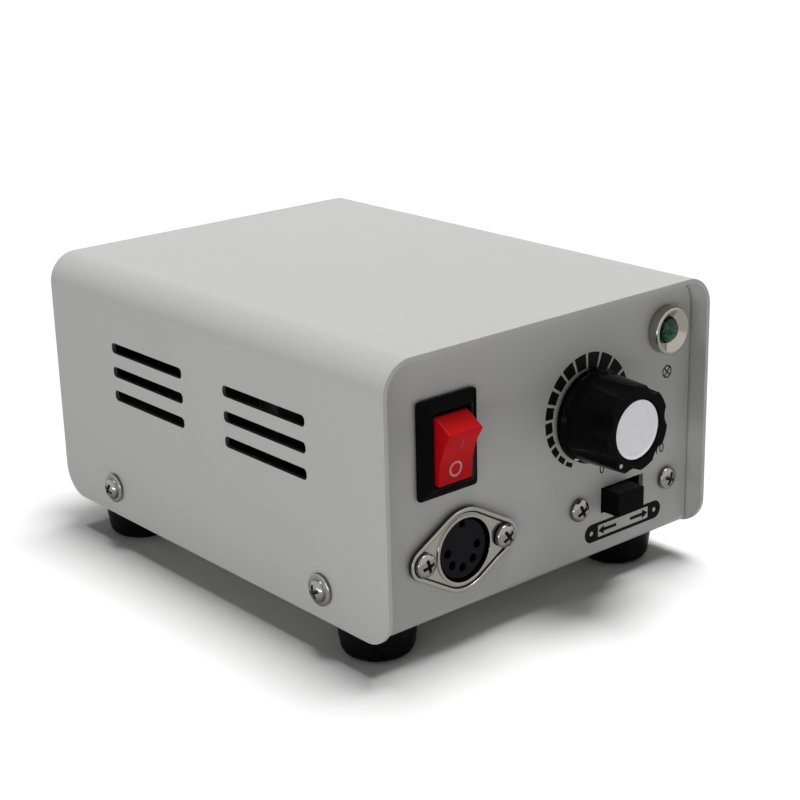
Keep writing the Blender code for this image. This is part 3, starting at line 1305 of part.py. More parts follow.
def make_fuse_holder(rear):
    """A holder through the panel, its bayonet cap, and the glass fuse that the cap carries."""
    place_at = (-FUSE_X, FUSE_RISE, 0.0)
    collar = FUSE_COLLAR_STAND
    floor = -FUSE_BORE_DEPTH
    profile = [
        (0.0, -FUSE_BODY_DEPTH),
        (FUSE_BODY_RADIUS, -FUSE_BODY_DEPTH),
        (FUSE_BODY_RADIUS, SEAT_GAP),
        (FUSE_COLLAR_RADIUS, SEAT_GAP),
        (FUSE_COLLAR_RADIUS, collar / 2),
        (FUSE_BODY_RADIUS, collar),
        (FUSE_BORE_RADIUS, collar),
        (FUSE_BORE_RADIUS, floor),
        (0.0, floor),
    ]
    holder = mesh_object("fuse_holder", turned(profile, ROUND_SIDES))
    place(dress(holder, "black_plastic"), rear, place_at)

    stand, seat = FUSE_CAP_STAND, collar + SEAT_GAP
    pocket = FUSE_RADIUS + SEAT_GAP
    fuse_top = FUSE_STAND
    profile = [
        (0.0, fuse_top + SEAT_GAP),
        (pocket, fuse_top + SEAT_GAP),
        (pocket, -FUSE_CARRIER_DEPTH),
        (FUSE_CARRIER_RADIUS, -FUSE_CARRIER_DEPTH),
        (FUSE_CARRIER_RADIUS, seat),
        (FUSE_CAP_RADIUS, seat),
        (FUSE_CAP_RADIUS, stand - FUSE_CAP_TAPER),
        (FUSE_CAP_RADIUS - FUSE_CAP_SLOT_DEPTH, stand),
        (0.0, stand),
    ]
    cap = mesh_object("fuse_cap", turned(profile, ROUND_SIDES))
    slot = rectangle(2 * FUSE_CAP_RADIUS + CUT_OVERRUN, FUSE_CAP_SLOT_WIDTH)
    cut(cap, prism(slot, stand - FUSE_CAP_SLOT_DEPTH, stand + CUT_OVERRUN))
    place(dress(cap, "black_plastic"), rear, place_at)

    low, edge = fuse_top - FUSE_LENGTH, FUSE_EDGE
    profile = [
        (0.0, low),
        (FUSE_RADIUS - edge, low),
        (FUSE_RADIUS, low + edge),
        (FUSE_RADIUS, fuse_top - edge),
        (FUSE_RADIUS - edge, fuse_top),
        (0.0, fuse_top),
    ]
    fuse = mesh_object("fuse_tube", turned(profile, SCREW_SIDES))
    place(dress(fuse, "fuse_glass"), rear, place_at)

    bore, outside = FUSE_BODY_RADIUS + THREAD_GAP, FUSE_NUT_RADIUS
    back, height = BEHIND_PANEL, FUSE_NUT_HEIGHT
    ring = [(bore, back - height), (outside, back - height), (outside, back), (bore, back)]
    nut = mesh_object("fuse_holder_nut", tube(ring, ROUND_SIDES))
    place(dress(nut, "black_plastic"), rear, place_at)


def make_cord_gland(rear):
    """An empty gland: a collar outside, a nose with the cord's bore, and a barb behind the panel."""
    bore = GLAND_BORE_RADIUS
    barb_back = BEHIND_PANEL - GLAND_BARB_LENGTH
    loop = [
        (bore, barb_back),
        (GLAND_BODY_RADIUS - SEAT_GAP, barb_back),
        (GLAND_BARB_RADIUS, BEHIND_PANEL),
        (GLAND_BODY_RADIUS, BEHIND_PANEL),
        (GLAND_BODY_RADIUS, SEAT_GAP),
        (GLAND_COLLAR_RADIUS, SEAT_GAP),
        (GLAND_COLLAR_RADIUS, GLAND_COLLAR_STAND),
        (GLAND_NOSE_RADIUS, GLAND_COLLAR_STAND),
        (GLAND_NOSE_RADIUS, GLAND_NOSE_STAND),
        (bore, GLAND_NOSE_STAND),
    ]
    gland = mesh_object("cord_gland", tube(loop, ROUND_SIDES))
    place(dress(gland, "black_plastic"), rear, (-GLAND_X, GLAND_RISE, 0.0))


def make_pedal_socket(rear):
    place_at = (-PEDAL_X, PEDAL_RISE, 0.0)
    floor = PEDAL_BUSH_STAND - PEDAL_BORE_DEPTH
    profile = [
        (0.0, -PEDAL_DEPTH),
        (PEDAL_BARREL_RADIUS, -PEDAL_DEPTH),
        (PEDAL_BARREL_RADIUS, BEHIND_PANEL),
        (PEDAL_BUSH_RADIUS, BEHIND_PANEL),
        (PEDAL_BUSH_RADIUS, PEDAL_BUSH_STAND),
        (PEDAL_BORE_RADIUS, PEDAL_BUSH_STAND),
        (PEDAL_BORE_RADIUS, floor),
        (0.0, floor),
    ]
    socket = mesh_object("pedal_socket", turned(profile, ROUND_SIDES))
    place(dress(socket, "black_plastic"), rear, place_at)
    nut = make_nut("pedal_socket_nut", PEDAL_NUT_FLATS, PEDAL_NUT_HEIGHT, PEDAL_BUSH_RADIUS + THREAD_GAP)
    place(nut, rear, (-PEDAL_X, PEDAL_RISE, SEAT_GAP))


def main():
    for obj in list(bpy.data.objects):
        bpy.data.objects.remove(obj)
    front = guide("front_panel_face", (0.0, PANEL_FACE_Y, COVER_BOTTOM_Z), (pi / 2, 0.0, 0.0))
    rear = guide("rear_panel_face", (0.0, REAR_FACE_Y, COVER_BOTTOM_Z), (pi / 2, 0.0, pi))
    make_cover()
    make_chassis()
    make_cover_screws()
    make_feet()
    make_power_switch(front)
    make_handpiece_socket(front)
    make_panel_screws(front)
    make_speed_knob(front)
    make_speed_pot(front)
    make_pilot_lamp(front)
    make_direction_switch(front)
    make_transformer()
    make_board()
    make_board_parts()
    make_fuse_holder(rear)
    make_cord_gland(rear)
    make_pedal_socket(rear)


main()
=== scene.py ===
"""The finished look of a dental lab micromotor's control box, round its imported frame.

A piece is modelled on the bench about the origin, with its own +Z pointing out of the face
that carries it, and is then seated on the box. Lengths are in metres.
"""

import json
import logging
from collections.abc import Callable, Iterator, Sequence
from contextlib import contextmanager
from dataclasses import dataclass
from enum import Enum
from math import cos, hypot, pi, radians, sin
from typing import Any

import bmesh
import bpy
from mathutils import Euler, Matrix, Vector

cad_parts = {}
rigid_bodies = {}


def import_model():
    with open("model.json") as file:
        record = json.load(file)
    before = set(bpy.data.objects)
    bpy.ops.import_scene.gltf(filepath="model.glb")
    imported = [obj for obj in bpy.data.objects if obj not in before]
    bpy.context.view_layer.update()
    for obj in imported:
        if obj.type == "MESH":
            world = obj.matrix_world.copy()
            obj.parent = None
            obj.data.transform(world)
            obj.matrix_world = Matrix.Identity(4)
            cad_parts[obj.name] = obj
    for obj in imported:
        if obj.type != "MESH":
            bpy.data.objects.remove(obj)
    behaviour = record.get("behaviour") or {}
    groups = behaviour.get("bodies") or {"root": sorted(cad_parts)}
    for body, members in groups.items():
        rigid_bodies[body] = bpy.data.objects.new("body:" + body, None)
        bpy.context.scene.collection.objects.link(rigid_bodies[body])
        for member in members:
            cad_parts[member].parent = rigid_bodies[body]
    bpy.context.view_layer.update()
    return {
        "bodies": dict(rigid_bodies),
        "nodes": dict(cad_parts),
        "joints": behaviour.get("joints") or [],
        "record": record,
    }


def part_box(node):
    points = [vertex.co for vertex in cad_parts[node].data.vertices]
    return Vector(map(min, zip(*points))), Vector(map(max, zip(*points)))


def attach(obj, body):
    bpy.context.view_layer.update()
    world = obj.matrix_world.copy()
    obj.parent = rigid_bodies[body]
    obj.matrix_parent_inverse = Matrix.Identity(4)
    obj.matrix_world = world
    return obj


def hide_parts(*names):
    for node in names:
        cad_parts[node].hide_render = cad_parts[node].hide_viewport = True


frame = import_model()

Colour = tuple[float, float, float]
Triple = tuple[float, float, float]
Point = tuple[float, float]
Profile = list[Point]

log = logging.getLogger("control_box")

WHITE: Colour = (1.0, 1.0, 1.0)

# Shared by every piece: the merge distance, the overrun of a cutter past a face, the number
# of sides and steps of round work, the angles that tell edges, bends and flat faces apart, and
# the angle of a spin's step
WELD = 1e-7
OVERRUN = 0.001
FINE_SIDES = 96
SMALL_SIDES = 48
CORNER_STEPS = 8
DOME_STEPS = 8
EDGE_ANGLE = radians(28)
SMOOTH_ANGLE = radians(38)
FLAT_ANGLE = radians(0.5)
SPIN_ANGLE = radians(3)
ORIGIN = Vector((0.0, 0.0, 0.0))

# The mesh attribute that marks painted shade: faces in recesses and on shaded walls whose colour is
# darkened to stand in for shadow
SHADE_ATTRIBUTE = "painted_shade"

# The places that pieces of a set are named after
SIDES = ("left", "right")
ROWS = ("front", "rear")
CORNERS = [f"{row}_{side}" for row in ROWS for side in SIDES]


class Body(Enum):
    """The bodies of the frame that pieces ride on."""

    CASE = "case"
    ROCKER = "rocker"
    KNOB = "knob"
    SLIDER = "slider"
    FUSE_CARRIER = "fuse_carrier"


class Facing(Enum):
    """The turn that points a bench piece's +Z out of a face of the box."""

    UP = (0.0, 0.0, 0.0)
    DOWN = (pi, 0.0, 0.0)
    FRONT = (pi / 2, 0.0, 0.0)
    REAR = (pi / 2, 0.0, pi)
    LEFT = (0.0, -pi / 2, 0.0)
    RIGHT = (0.0, pi / 2, 0.0)

    @property
    def out(self) -> Vector:
        """The direction that +Z comes to point in."""
        return Euler(self.value).to_matrix() @ Vector((0.0, 0.0, 1.0))


class Pick(Enum):
    """What is selected in edit mode."""

    VERTICES = "VERT"
    EDGES = "EDGE"
    FACES = "FACE"

    def parts_of(self, mesh: bmesh.types.BMesh) -> list[tuple[Any, tuple[Vector, ...]]]:
        """The mesh's parts of this kind.

        Args:
            mesh: A mesh in edit mode.

        Returns:
            Each part with its place, its two ends, or its middle and normal.
        """
        if self is Pick.VERTICES:
            return [(vertex, (vertex.co,)) for vertex in mesh.verts]
        if self is Pick.EDGES:
            return [(edge, tuple(vertex.co for vertex in edge.verts)) for edge in mesh.edges]
        return [(face, (face.calc_center_median(), face.normal)) for face in mesh.faces]


# Shader graphs


class Signal:
    """A value on its way through a shader. Python's operators on it add Math nodes."""

    def __init__(self, graph: "ShaderGraph", socket: bpy.types.NodeSocket) -> None:
        """Wraps an output socket of a node in the graph."""
        self.graph = graph
        self.socket = socket

    def __add__(self, other: "Signal | float") -> "Signal":
        """The sum."""
        return self.graph.math("ADD", self, other)

    __radd__ = __add__

    def __sub__(self, other: "Signal | float") -> "Signal":
        """The difference."""
        return self.graph.math("SUBTRACT", self, other)

    def __rsub__(self, other: float) -> "Signal":
        """The difference from a number."""
        return self.graph.math("SUBTRACT", other, self)

    def __mul__(self, other: "Signal | float") -> "Signal":
        """The product."""
        return self.graph.math("MULTIPLY", self, other)

    __rmul__ = __mul__

    def __abs__(self) -> "Signal":
        """The value without its sign."""
        return self.graph.math("ABSOLUTE", self, 0.0)

    def sine(self) -> "Signal":
        """The sine."""
        return self.graph.math("SINE", self, 0.0)

    def rise(self, start: float, end: float) -> "Signal":
        """A soft step from 0 to 1.

        Args:
            start: The value at which the step begins.
            end: The value at which it is done; below start, the step falls.

        Returns:
            The step.
        """
        settings = {"interpolation_type": "SMOOTHSTEP"}
        inputs = {"Value": self, "From Min": start, "From Max": end, "To Min": 0.0, "To Max": 1.0}
        return self.graph.signal("ShaderNodeMapRange", "Result", settings, inputs)


class ShaderGraph:
    """The node tree of a material or of the world, round its one shader."""

    def __init__(self, owner: bpy.types.Material | bpy.types.World, shader: str) -> None:
        """Starts on the owner's own nodes.

        Args:
            owner: The material or the world.
            shader: The name of its shader node.
        """
        owner.use_nodes = True
        self.tree = owner.node_tree
        self.shader = self.tree.nodes[shader]

    def node(self, kind: str, settings: dict[str, Any], inputs: dict[str, Any]) -> bpy.types.Node:
        """Adds a node.

        Args:
            kind: The node's type.
            settings: Its properties, set first.
            inputs: Values or signals by the name or identifier of the socket.

        Returns:
            The node.
        """
        node = self.tree.nodes.new(kind)
        for key, value in settings.items():
            setattr(node, key, value)
        for key, value in inputs.items():
            self.feed(self._socket(node.inputs, key), value)
        return node

    @staticmethod
    def _socket(sockets: Any, key: str) -> bpy.types.NodeSocket:
        """The socket with that identifier, or else the first in use with that name.

        Args:
            sockets: A node's inputs or outputs.
            key: The identifier or the name.

        Returns:
            The socket.
        """
        for socket in sockets:
            if socket.identifier == key:
                return socket
        return next(socket for socket in sockets if socket.name == key and socket.enabled)

    def feed(self, socket: bpy.types.NodeSocket, value: Any) -> None:
        """Links a signal to a socket, or sets the socket's own value.

        Args:
            socket: A node's input.
            value: A signal, a colour, a vector or a number.
        """
        if isinstance(value, Signal):
            self.tree.links.new(value.socket, socket)
        elif isinstance(value, tuple) and len(value) == 3 and socket.type == "RGBA":
            socket.default_value = (*value, 1.0)
        else:
            socket.default_value = value

    def signal(
        self, kind: str, output: str, settings: dict[str, Any], inputs: dict[str, Any]
    ) -> Signal:
        """Adds a node and returns one of its outputs as a signal."""
        node = self.node(kind, settings, inputs)
        return Signal(self, self._socket(node.outputs, output))

    def math(self, operation: str, first: "Signal | float", second: "Signal | float") -> Signal:
        """Adds a Math node on two values."""
        inputs = {"Value": first, "Value_001": second}
        return self.signal("ShaderNodeMath", "Value", {"operation": operation}, inputs)

    def mix(self, factor: "Signal | float", first: Any, second: Any) -> Signal:
        """Mixes two colours."""
        inputs = {"Factor_Float": factor, "A_Color": first, "B_Color": second}
        return self.signal("ShaderNodeMix", "Result_Color", {"data_type": "RGBA"}, inputs)

    def place(self, stretch: Triple = (1.0, 1.0, 1.0), centre: Triple = (0.0, 0.0, 0.0)) -> Signal:
        """Object coordinates, measured from a centre and stretched.

        Args:
            stretch: How many times finer a pattern gets along each axis.
            centre: The point that becomes the pattern's own origin.

        Returns:
            The coordinates.
        """
        place = self.signal("ShaderNodeTexCoord", "Object", {}, {})
        moved = {"Vector": place, "Vector_001": centre}
        place = self.signal("ShaderNodeVectorMath", "Vector", {"operation": "SUBTRACT"}, moved)
        scaled = {"Vector": place, "Vector_001": stretch}
        return self.signal("ShaderNodeVectorMath", "Vector", {"operation": "MULTIPLY"}, scaled)

    def axis(self, name: str, centre: Triple = (0.0, 0.0, 0.0)) -> Signal:
        """One coordinate, X, Y or Z, measured from a centre."""
        return self.signal("ShaderNodeSeparateXYZ", name, {}, {"Vector": self.place(centre=centre)})

    def noise(self, grain: float, detail: float = 2.0, stretch: Triple = (1.0, 1.0, 1.0)) -> Signal:
        """Smooth noise between 0 and 1.

        Args:
            grain: The size of its patches, in metres.
            detail: How many finer octaves it has.
            stretch: How many times finer it is along each axis.

        Returns:
            The noise.
        """
        inputs = {"Vector": self.place(stretch), "Scale": 1.0 / grain, "Detail": detail}
        return self.signal("ShaderNodeTexNoise", "Fac", {}, inputs)

    def cells(self, size: float, metric: str = "EUCLIDEAN") -> Signal:
        """How far a point is from the middle of its cell, in cells of that size in metres."""
        inputs = {"Vector": self.place(), "Scale": 1.0 / size}
        return self.signal("ShaderNodeTexVoronoi", "Distance", {"distance": metric}, inputs)

    def wave(self, name: str, pitch: float) -> Signal:
        """A sine wave along an axis, that repeats at a pitch in metres."""
        return (self.axis(name) * (2 * pi / pitch)).sine()

    def shade_mask(self) -> Signal:
        """How far painted shade darkens the surface, from the mesh's own marks."""
        return self.signal("ShaderNodeAttribute", "Fac", {"attribute_name": SHADE_ATTRIBUTE}, {})

    def bump(self, height: Signal, depth: float) -> None:
        """Roughens the surface by a height between 0 and 1, times a depth in metres."""
        inputs = {"Height": height, "Distance": depth, "Strength": 1.0}
        self.feed(self.shader.inputs["Normal"], self.signal("ShaderNodeBump", "Normal", {}, inputs))

    def surface(self, **values: Any) -> None:
        """Sets or links the shader's sockets; an underscore in a name stands for a space."""
        for name, value in values.items():
            self.feed(self.shader.inputs[name.replace("_", " ")], value)


# Finishes


def scaled(colour: Colour, share: float) -> Colour:
    """A lighter or darker shade of a colour."""
    return tuple(channel * share for channel in colour)


@dataclass(frozen=True)
class Finish:
    """What every finish has: its name, its colour, how rough it is, and its slot."""

    name: str
    colour: Colour
    roughness: float
    slot: str | None = None

    def material(self) -> bpy.types.Material:
        """The material, made on its first use.

        Returns:
            The material.
        """
        found = bpy.data.materials.get(self.name)
        if found:
            return found
        made = bpy.data.materials.new(self.name)
        self.paint(ShaderGraph(made, "Principled BSDF"))
        return made

    def paint(self, graph: ShaderGraph) -> None:
        """Builds the surface in the graph."""
        raise NotImplementedError

    def mottled(self, graph: ShaderGraph, grain: float, share: float) -> Signal:
        """The colour with soft patches, darker and lighter by a share."""
        dark, light = scaled(self.colour, 1.0 - share), scaled(self.colour, 1.0 + share)
        return graph.mix(graph.noise(grain), dark, light)


@dataclass(frozen=True)
class PowderCoat(Finish):
    """Baked paint with a fine orange peel."""

    peel_grain: float = 0.0011
    peel_depth: float = 0.000012
    peel_share: float = 0.75
    speck_grain: float = 0.00022
    speck_gloss: float = 0.12
    patch_grain: float = 0.02
    patch_share: float = 0.012
    shade_paint: Colour = (0.02, 0.02, 0.02)

    def paint(self, graph: ShaderGraph) -> None:
        """Even colour, painted shade on marked faces, a soft peel and a speck of texture in its gloss.

        Args:
            graph: The material's nodes.
        """
        peel, specks = graph.noise(self.peel_grain), graph.noise(self.speck_grain)
        even = self.mottled(graph, self.patch_grain, self.patch_share)
        rough = self.roughness + (specks - 0.5) * self.speck_gloss
        # Faces marked with painted shade take a near-black colour, standing in for shadow.
        graph.surface(Base_Color=graph.mix(graph.shade_mask(), even, self.shade_paint), Roughness=rough)
        graph.bump(peel * self.peel_share + specks * (1.0 - self.peel_share), self.peel_depth)


@dataclass(frozen=True)
class Moulding(Finish):
    """Moulded plastic or rubber, with a fine grain and faint handling marks."""

    grain: float = 0.00012
    depth: float = 0.000003
    specular: float = 0.5
    smear_grain: float = 0.006
    smear_detail: float = 4.0
    smear_rise: Point = (0.45, 0.75)
    smear_gloss: float = 0.10
    patch_grain: float = 0.003
    patch_share: float = 0.05

    def paint(self, graph: ShaderGraph) -> None:
        """Even colour, a grain, and a gloss that handling has dulled in patches.

        Args:
            graph: The material's nodes.
        """
        smears = graph.noise(self.smear_grain, self.smear_detail).rise(*self.smear_rise)
        graph.surface(
            Base_Color=self.mottled(graph, self.patch_grain, self.patch_share),
            Roughness=self.roughness + smears * self.smear_gloss,
            Specular_IOR_Level=self.specular,
        )
        graph.bump(graph.noise(self.grain), self.depth)


@dataclass(frozen=True)
class Plated(Finish):
    """Bright or brushed metal, with hairlines along one axis and painted shade in its recesses."""

    hairline: float = 0.00010
    along: Triple = (1.0, 1.0, 0.06)
    detail: float = 3.0
    depth: float = 0.0000012
    spread: float = 0.12
    cloud_grain: float = 0.0025
    patch_grain: float = 0.0018
    patch_share: float = 0.06
    shade_paint: Colour = (0.012, 0.011, 0.010)
    shade_roughening: float = 0.3

    def paint(self, graph: ShaderGraph) -> None:
        """Metal whose gloss breaks along its hairlines and in faint clouds, and that is dark where
        painted shade is marked.

        Args:
            graph: The material's nodes.
        """
        lines = graph.noise(self.hairline, self.detail, self.along)
        clouds = graph.noise(self.cloud_grain, self.detail)
        rough = self.roughness + (lines - 0.5) * self.spread + (clouds - 0.5) * self.spread
        # Faces marked with painted shade turn dark, non-metallic and rougher, standing in for shadow and
        # dark reflections in recesses.
        painted_shade, clean = graph.shade_mask(), self.mottled(graph, self.patch_grain, self.patch_share)
        graph.surface(
            Base_Color=graph.mix(painted_shade, clean, self.shade_paint),
            Metallic=1.0 - painted_shade,
            Roughness=rough + painted_shade * self.shade_roughening,
        )
        graph.bump(lines, self.depth)


@dataclass(frozen=True)
class Ink(Finish):
    """Screen-printed ink, a little uneven where it lies thin."""

    weave_grain: float = 0.00025
    weave_detail: float = 3.0
    weave_gloss: float = 0.2
    weave_depth: float = 0.000004
    thin_rise: Point = (0.35, 0.7)
    thin_shade: float = 1.3
    specular: float = 0.05

    def paint(self, graph: ShaderGraph) -> None:
        """A dense matt film with a faint weave from the screen.

        Args:
            graph: The material's nodes.
        """
        weave = graph.noise(self.weave_grain, self.weave_detail)
        thin = scaled(self.colour, self.thin_shade)
        graph.surface(
            Base_Color=graph.mix(weave.rise(*self.thin_rise), self.colour, thin),
            Roughness=self.roughness + (weave - 0.5) * self.weave_gloss,
            Specular_IOR_Level=self.specular,
        )
        graph.bump(weave, self.weave_depth)


@dataclass(frozen=True)
class DiscFoil(Finish):
    """The silvery foil of the knob's disc."""

    flake_grain: float = 0.00012
    flake_gloss: float = 0.2
    flake_depth: float = 0.0000015
    cloud_grain: float = 0.003
    cloud_shades: Point = (0.94, 1.05)
    metallic: float = 0.7

    def paint(self, graph: ShaderGraph) -> None:
        """Pale satin foil with a fine flake.

        Args:
            graph: The material's nodes.
        """
        flake = graph.noise(self.flake_grain)
        shades = [scaled(self.colour, share) for share in self.cloud_shades]
        graph.surface(
            Base_Color=graph.mix(graph.noise(self.cloud_grain), *shades),
            Metallic=self.metallic,
            Roughness=self.roughness + (flake - 0.5) * self.flake_gloss,
        )
        graph.bump(flake, self.flake_depth)


@dataclass(frozen=True)
class LampLens(Finish):
    """A dark green lens, facetted behind its smooth dome."""

    facet: float = 0.0011
    facet_rise: Point = (0.1, 0.8)
    facet_glint_shades: Point = (3.4, 0.3)
    facet_gloss: float = 0.06
    specular: float = 0.35

    def paint(self, graph: ShaderGraph) -> None:
        """Deep green, with facets painted in: the paler ones are painted glints, the darker ones painted
        shade.

        Args:
            graph: The material's nodes.
        """
        facets = graph.cells(self.facet)
        # Facet cells painted far paler and far darker than the green: painted glints and painted shade.
        shades = [scaled(self.colour, share) for share in self.facet_glint_shades]
        graph.surface(
            Base_Color=graph.mix(facets.rise(*self.facet_rise), *shades),
            Roughness=self.roughness + facets * self.facet_gloss,
            Specular_IOR_Level=self.specular,
        )


@dataclass(frozen=True)
class Laminations(Finish):
    """The varnished edges of a stack of iron sheets, one behind the other along Y."""

    sheet: float = 0.0005
    edge_rise: Point = (0.55, 0.95)
    edge_shade: float = 2.6
    edge_gloss: float = 0.12
    edge_depth: float = 0.00003
    stain_grain: float = 0.004
    stain_detail: float = 4.0
    metallic: float = 0.7

    def paint(self, graph: ShaderGraph) -> None:
        """Dark varnish with a bright line where each sheet's edge was sheared.

        Args:
            graph: The material's nodes.
        """
        line = graph.wave("Y", self.sheet) * 0.5 + 0.5
        sheared = line.rise(*self.edge_rise) * graph.noise(self.stain_grain, self.stain_detail)
        graph.surface(
            Base_Color=graph.mix(sheared, self.colour, scaled(self.colour, self.edge_shade)),
            Metallic=self.metallic,
            Roughness=self.roughness - line * self.edge_gloss,
        )
        graph.bump(line, self.edge_depth)


@dataclass(frozen=True)
class WindingTape(Finish):
    """Yellow tape wound in overlapping turns, with each turn's edge across Z."""

    turn: float = 0.0048
    lap_rise: Point = (0.5, 0.9)
    lap_shade: float = 0.72
    lap_step: Point = (0.4, 0.6)
    lap_depth: float = 0.00004
    varnish_grain: float = 0.006
    varnish_detail: float = 4.0
    varnish_rise: Point = (0.5, 0.8)
    varnish_share: float = 0.5
    varnish_shade: float = 0.5
    varnish_gloss: float = 0.15

    def paint(self, graph: ShaderGraph) -> None:
        """Glossy tape, darker where the turns overlap and where the varnish has run.

        Args:
            graph: The material's nodes.
        """
        lap = graph.wave("Z", self.turn) * 0.5 + 0.5
        varnish = graph.noise(self.varnish_grain, self.varnish_detail)
        run, dark = varnish.rise(*self.varnish_rise), scaled(self.colour, self.varnish_shade)
        tape = graph.mix(
            lap.rise(*self.lap_rise), self.colour, scaled(self.colour, self.lap_shade)
        )
        graph.surface(
            Base_Color=graph.mix(run * self.varnish_share, tape, dark),
            Roughness=self.roughness + varnish * self.varnish_gloss,
        )
        graph.bump(lap.rise(*self.lap_step), self.lap_depth)


@dataclass(frozen=True)
class SolderMask(Finish):
    """A green board: copper tracks under the mask, and tinned pads."""

    track: float = 0.0034
    track_rise: Point = (0.42, 0.5)
    track_shade: float = 1.7
    track_relief: float = 0.6
    track_depth: float = 0.00003
    pad_rise: Point = (0.17, 0.13)
    tin: Colour = (0.72, 0.71, 0.68)
    tin_metallic: float = 0.9
    tin_gloss: float = 0.15

    def paint(self, graph: ShaderGraph) -> None:
        """Dark mask, paler over the tracks, with bright pads.

        Args:
            graph: The material's nodes.
        """
        tracks = graph.cells(self.track, "CHEBYCHEV").rise(*self.track_rise)
        pads = graph.cells(self.track).rise(*self.pad_rise)
        mask = graph.mix(tracks, scaled(self.colour, self.track_shade), self.colour)
        graph.surface(
            Base_Color=graph.mix(pads, mask, self.tin),
            Metallic=pads * self.tin_metallic,
            Roughness=self.roughness - pads * self.tin_gloss,
        )
        graph.bump(1.0 - tracks * self.track_relief, self.track_depth)


@dataclass(frozen=True)
class PrintedSleeve(Finish):
    """A capacitor's shrunk sleeve with a pale stripe down its right side."""

    centre: Triple = (0.0, 0.0, 0.0)
    side_fade: float = 0.0005
    stripe: float = 0.0022
    stripe_fade: float = 0.9
    stripe_ink: Colour = (0.55, 0.57, 0.60)
    dash_pitch: float = 0.004
    dash_rise: Point = (0.55, 0.65)
    dash_share: float = 0.9
    patch_grain: float = 0.004
    patch_share: float = 0.08
    gloss_grain: float = 0.002
    gloss: float = 0.1
    skin_grain: float = 0.0009
    skin_depth: float = 0.000008

    def paint(self, graph: ShaderGraph) -> None:
        """Dark sleeve, glossy, with the stripe and small dashes on it.

        Args:
            graph: The material's nodes.
        """
        across = abs(graph.axis("Y", self.centre))
        side = graph.axis("X", self.centre).rise(0.0, self.side_fade)
        band = side * across.rise(self.stripe, self.stripe * self.stripe_fade)
        dash = graph.wave("Z", self.dash_pitch).rise(*self.dash_rise)
        sleeve = self.mottled(graph, self.patch_grain, self.patch_share)
        graph.surface(
            Base_Color=graph.mix(band * (1.0 - dash * self.dash_share), sleeve, self.stripe_ink),
            Roughness=self.roughness + graph.noise(self.gloss_grain) * self.gloss,
        )
        graph.bump(graph.noise(self.skin_grain), self.skin_depth)


@dataclass(frozen=True)
class FuseGlass(Finish):
    """A glass fuse along Y, with a metal cap on each end."""

    centre: Triple = (0.0, 0.0, 0.0)
    glass_half_length: float = 0.0045
    glass_alpha: float = 0.35
    cap_fade: float = 1.02
    cap: Colour = (0.66, 0.64, 0.60)
    cap_gloss: float = 0.15
    streak_grain: float = 0.0008
    streak_gloss: float = 0.03

    def paint(self, graph: ShaderGraph) -> None:
        """Clear glass between two nickel caps.

        Args:
            graph: The material's nodes.
        """
        half = self.glass_half_length
        caps = abs(graph.axis("Y", self.centre)).rise(half, half * self.cap_fade)
        streaks = graph.noise(self.streak_grain) * self.streak_gloss
        graph.surface(
            Base_Color=graph.mix(caps, self.colour, self.cap),
            Metallic=caps,
            Roughness=self.roughness + caps * self.cap_gloss + streaks,
            Alpha=self.glass_alpha + caps * (1.0 - self.glass_alpha),
        )


PAINT = PowderCoat("warm_grey_powder_coat", (0.60, 0.60, 0.58), 0.40, "cover_paint")
CHASSIS_PAINT = PowderCoat("warm_grey_panel_coat", (0.58, 0.58, 0.56), 0.44, "chassis_paint")
ZINC = Plated("bright_zinc", (0.32, 0.31, 0.30), 0.15, "zinc_screw")
NICKEL = Plated("bright_nickel", (0.40, 0.38, 0.34), 0.17, "nickel", spread=0.08)
# Near black: the switch body inside the box is painted dark, standing in for the shade that it lies in.
SHADED_TINPLATE = Plated("tinplate_painted_dark", (0.02, 0.02, 0.02), 0.5, "nickel")
BRASS = Plated("plain_brass", (0.62, 0.45, 0.18), 0.28, "brass")
ALUMINIUM = Plated("extruded_aluminium", (0.70, 0.70, 0.71), 0.36, "aluminium", depth=0.000003)
BLACK = Moulding("black_moulding", (0.004, 0.004, 0.0045), 0.20, "black_plastic", specular=0.03)
SATIN_BLACK = Moulding(
    "satin_black_moulding",
    (0.006, 0.006, 0.0065),
    0.40,
    "black_plastic",
    depth=0.000006,
    specular=0.05,
)
INSERT = Moulding(
    "blue_black_moulding", (0.011, 0.011, 0.015), 0.30, "black_plastic", specular=0.06
)
RED = Moulding("red_moulding", (0.66, 0.006, 0.009), 0.24, "red_plastic", specular=0.06)
RUBBER = Moulding(
    "black_rubber",
    (0.004, 0.004, 0.0045),
    0.26,
    "foot_rubber",
    grain=0.0003,
    depth=0.000006,
    specular=0.05,
)
NYLON = Moulding("natural_nylon", (0.75, 0.74, 0.70), 0.45, "white_nylon")
FOIL = DiscFoil("silver_foil", (0.88, 0.87, 0.91), 0.34, "silver_disc")
LENS = LampLens("green_lens", (0.001, 0.045, 0.020), 0.08, "lens_green")
IRON = Laminations("varnished_laminations", (0.12, 0.12, 0.13), 0.50, "core_iron")
TAPE = WindingTape("yellow_winding_tape", (0.55, 0.42, 0.08), 0.34, "coil_tape")
MASK = SolderMask("green_solder_mask", (0.02, 0.16, 0.07), 0.38, "board_green")
BLACK_INK = Ink("black_ink", (0.006, 0.006, 0.006), 0.5)
PALE_INK = Ink("pale_ink", (0.60, 0.36, 0.42), 0.5)
MAUVE_INK = Ink("mauve_ink", (0.34, 0.07, 0.14), 0.5)
WHITE_INK = Ink("white_ink", (0.60, 0.60, 0.60), 0.5)


# The bench


def clear_selection() -> None:
    """Deselects every object."""
    bpy.ops.object.select_all(action="DESELECT")


def activate(obj: bpy.types.Object) -> None:
    """Makes an object the only selected and the active one.

    Args:
        obj: The object.
    """
    clear_selection()
    obj.select_set(True)
    bpy.context.view_layer.objects.active = obj


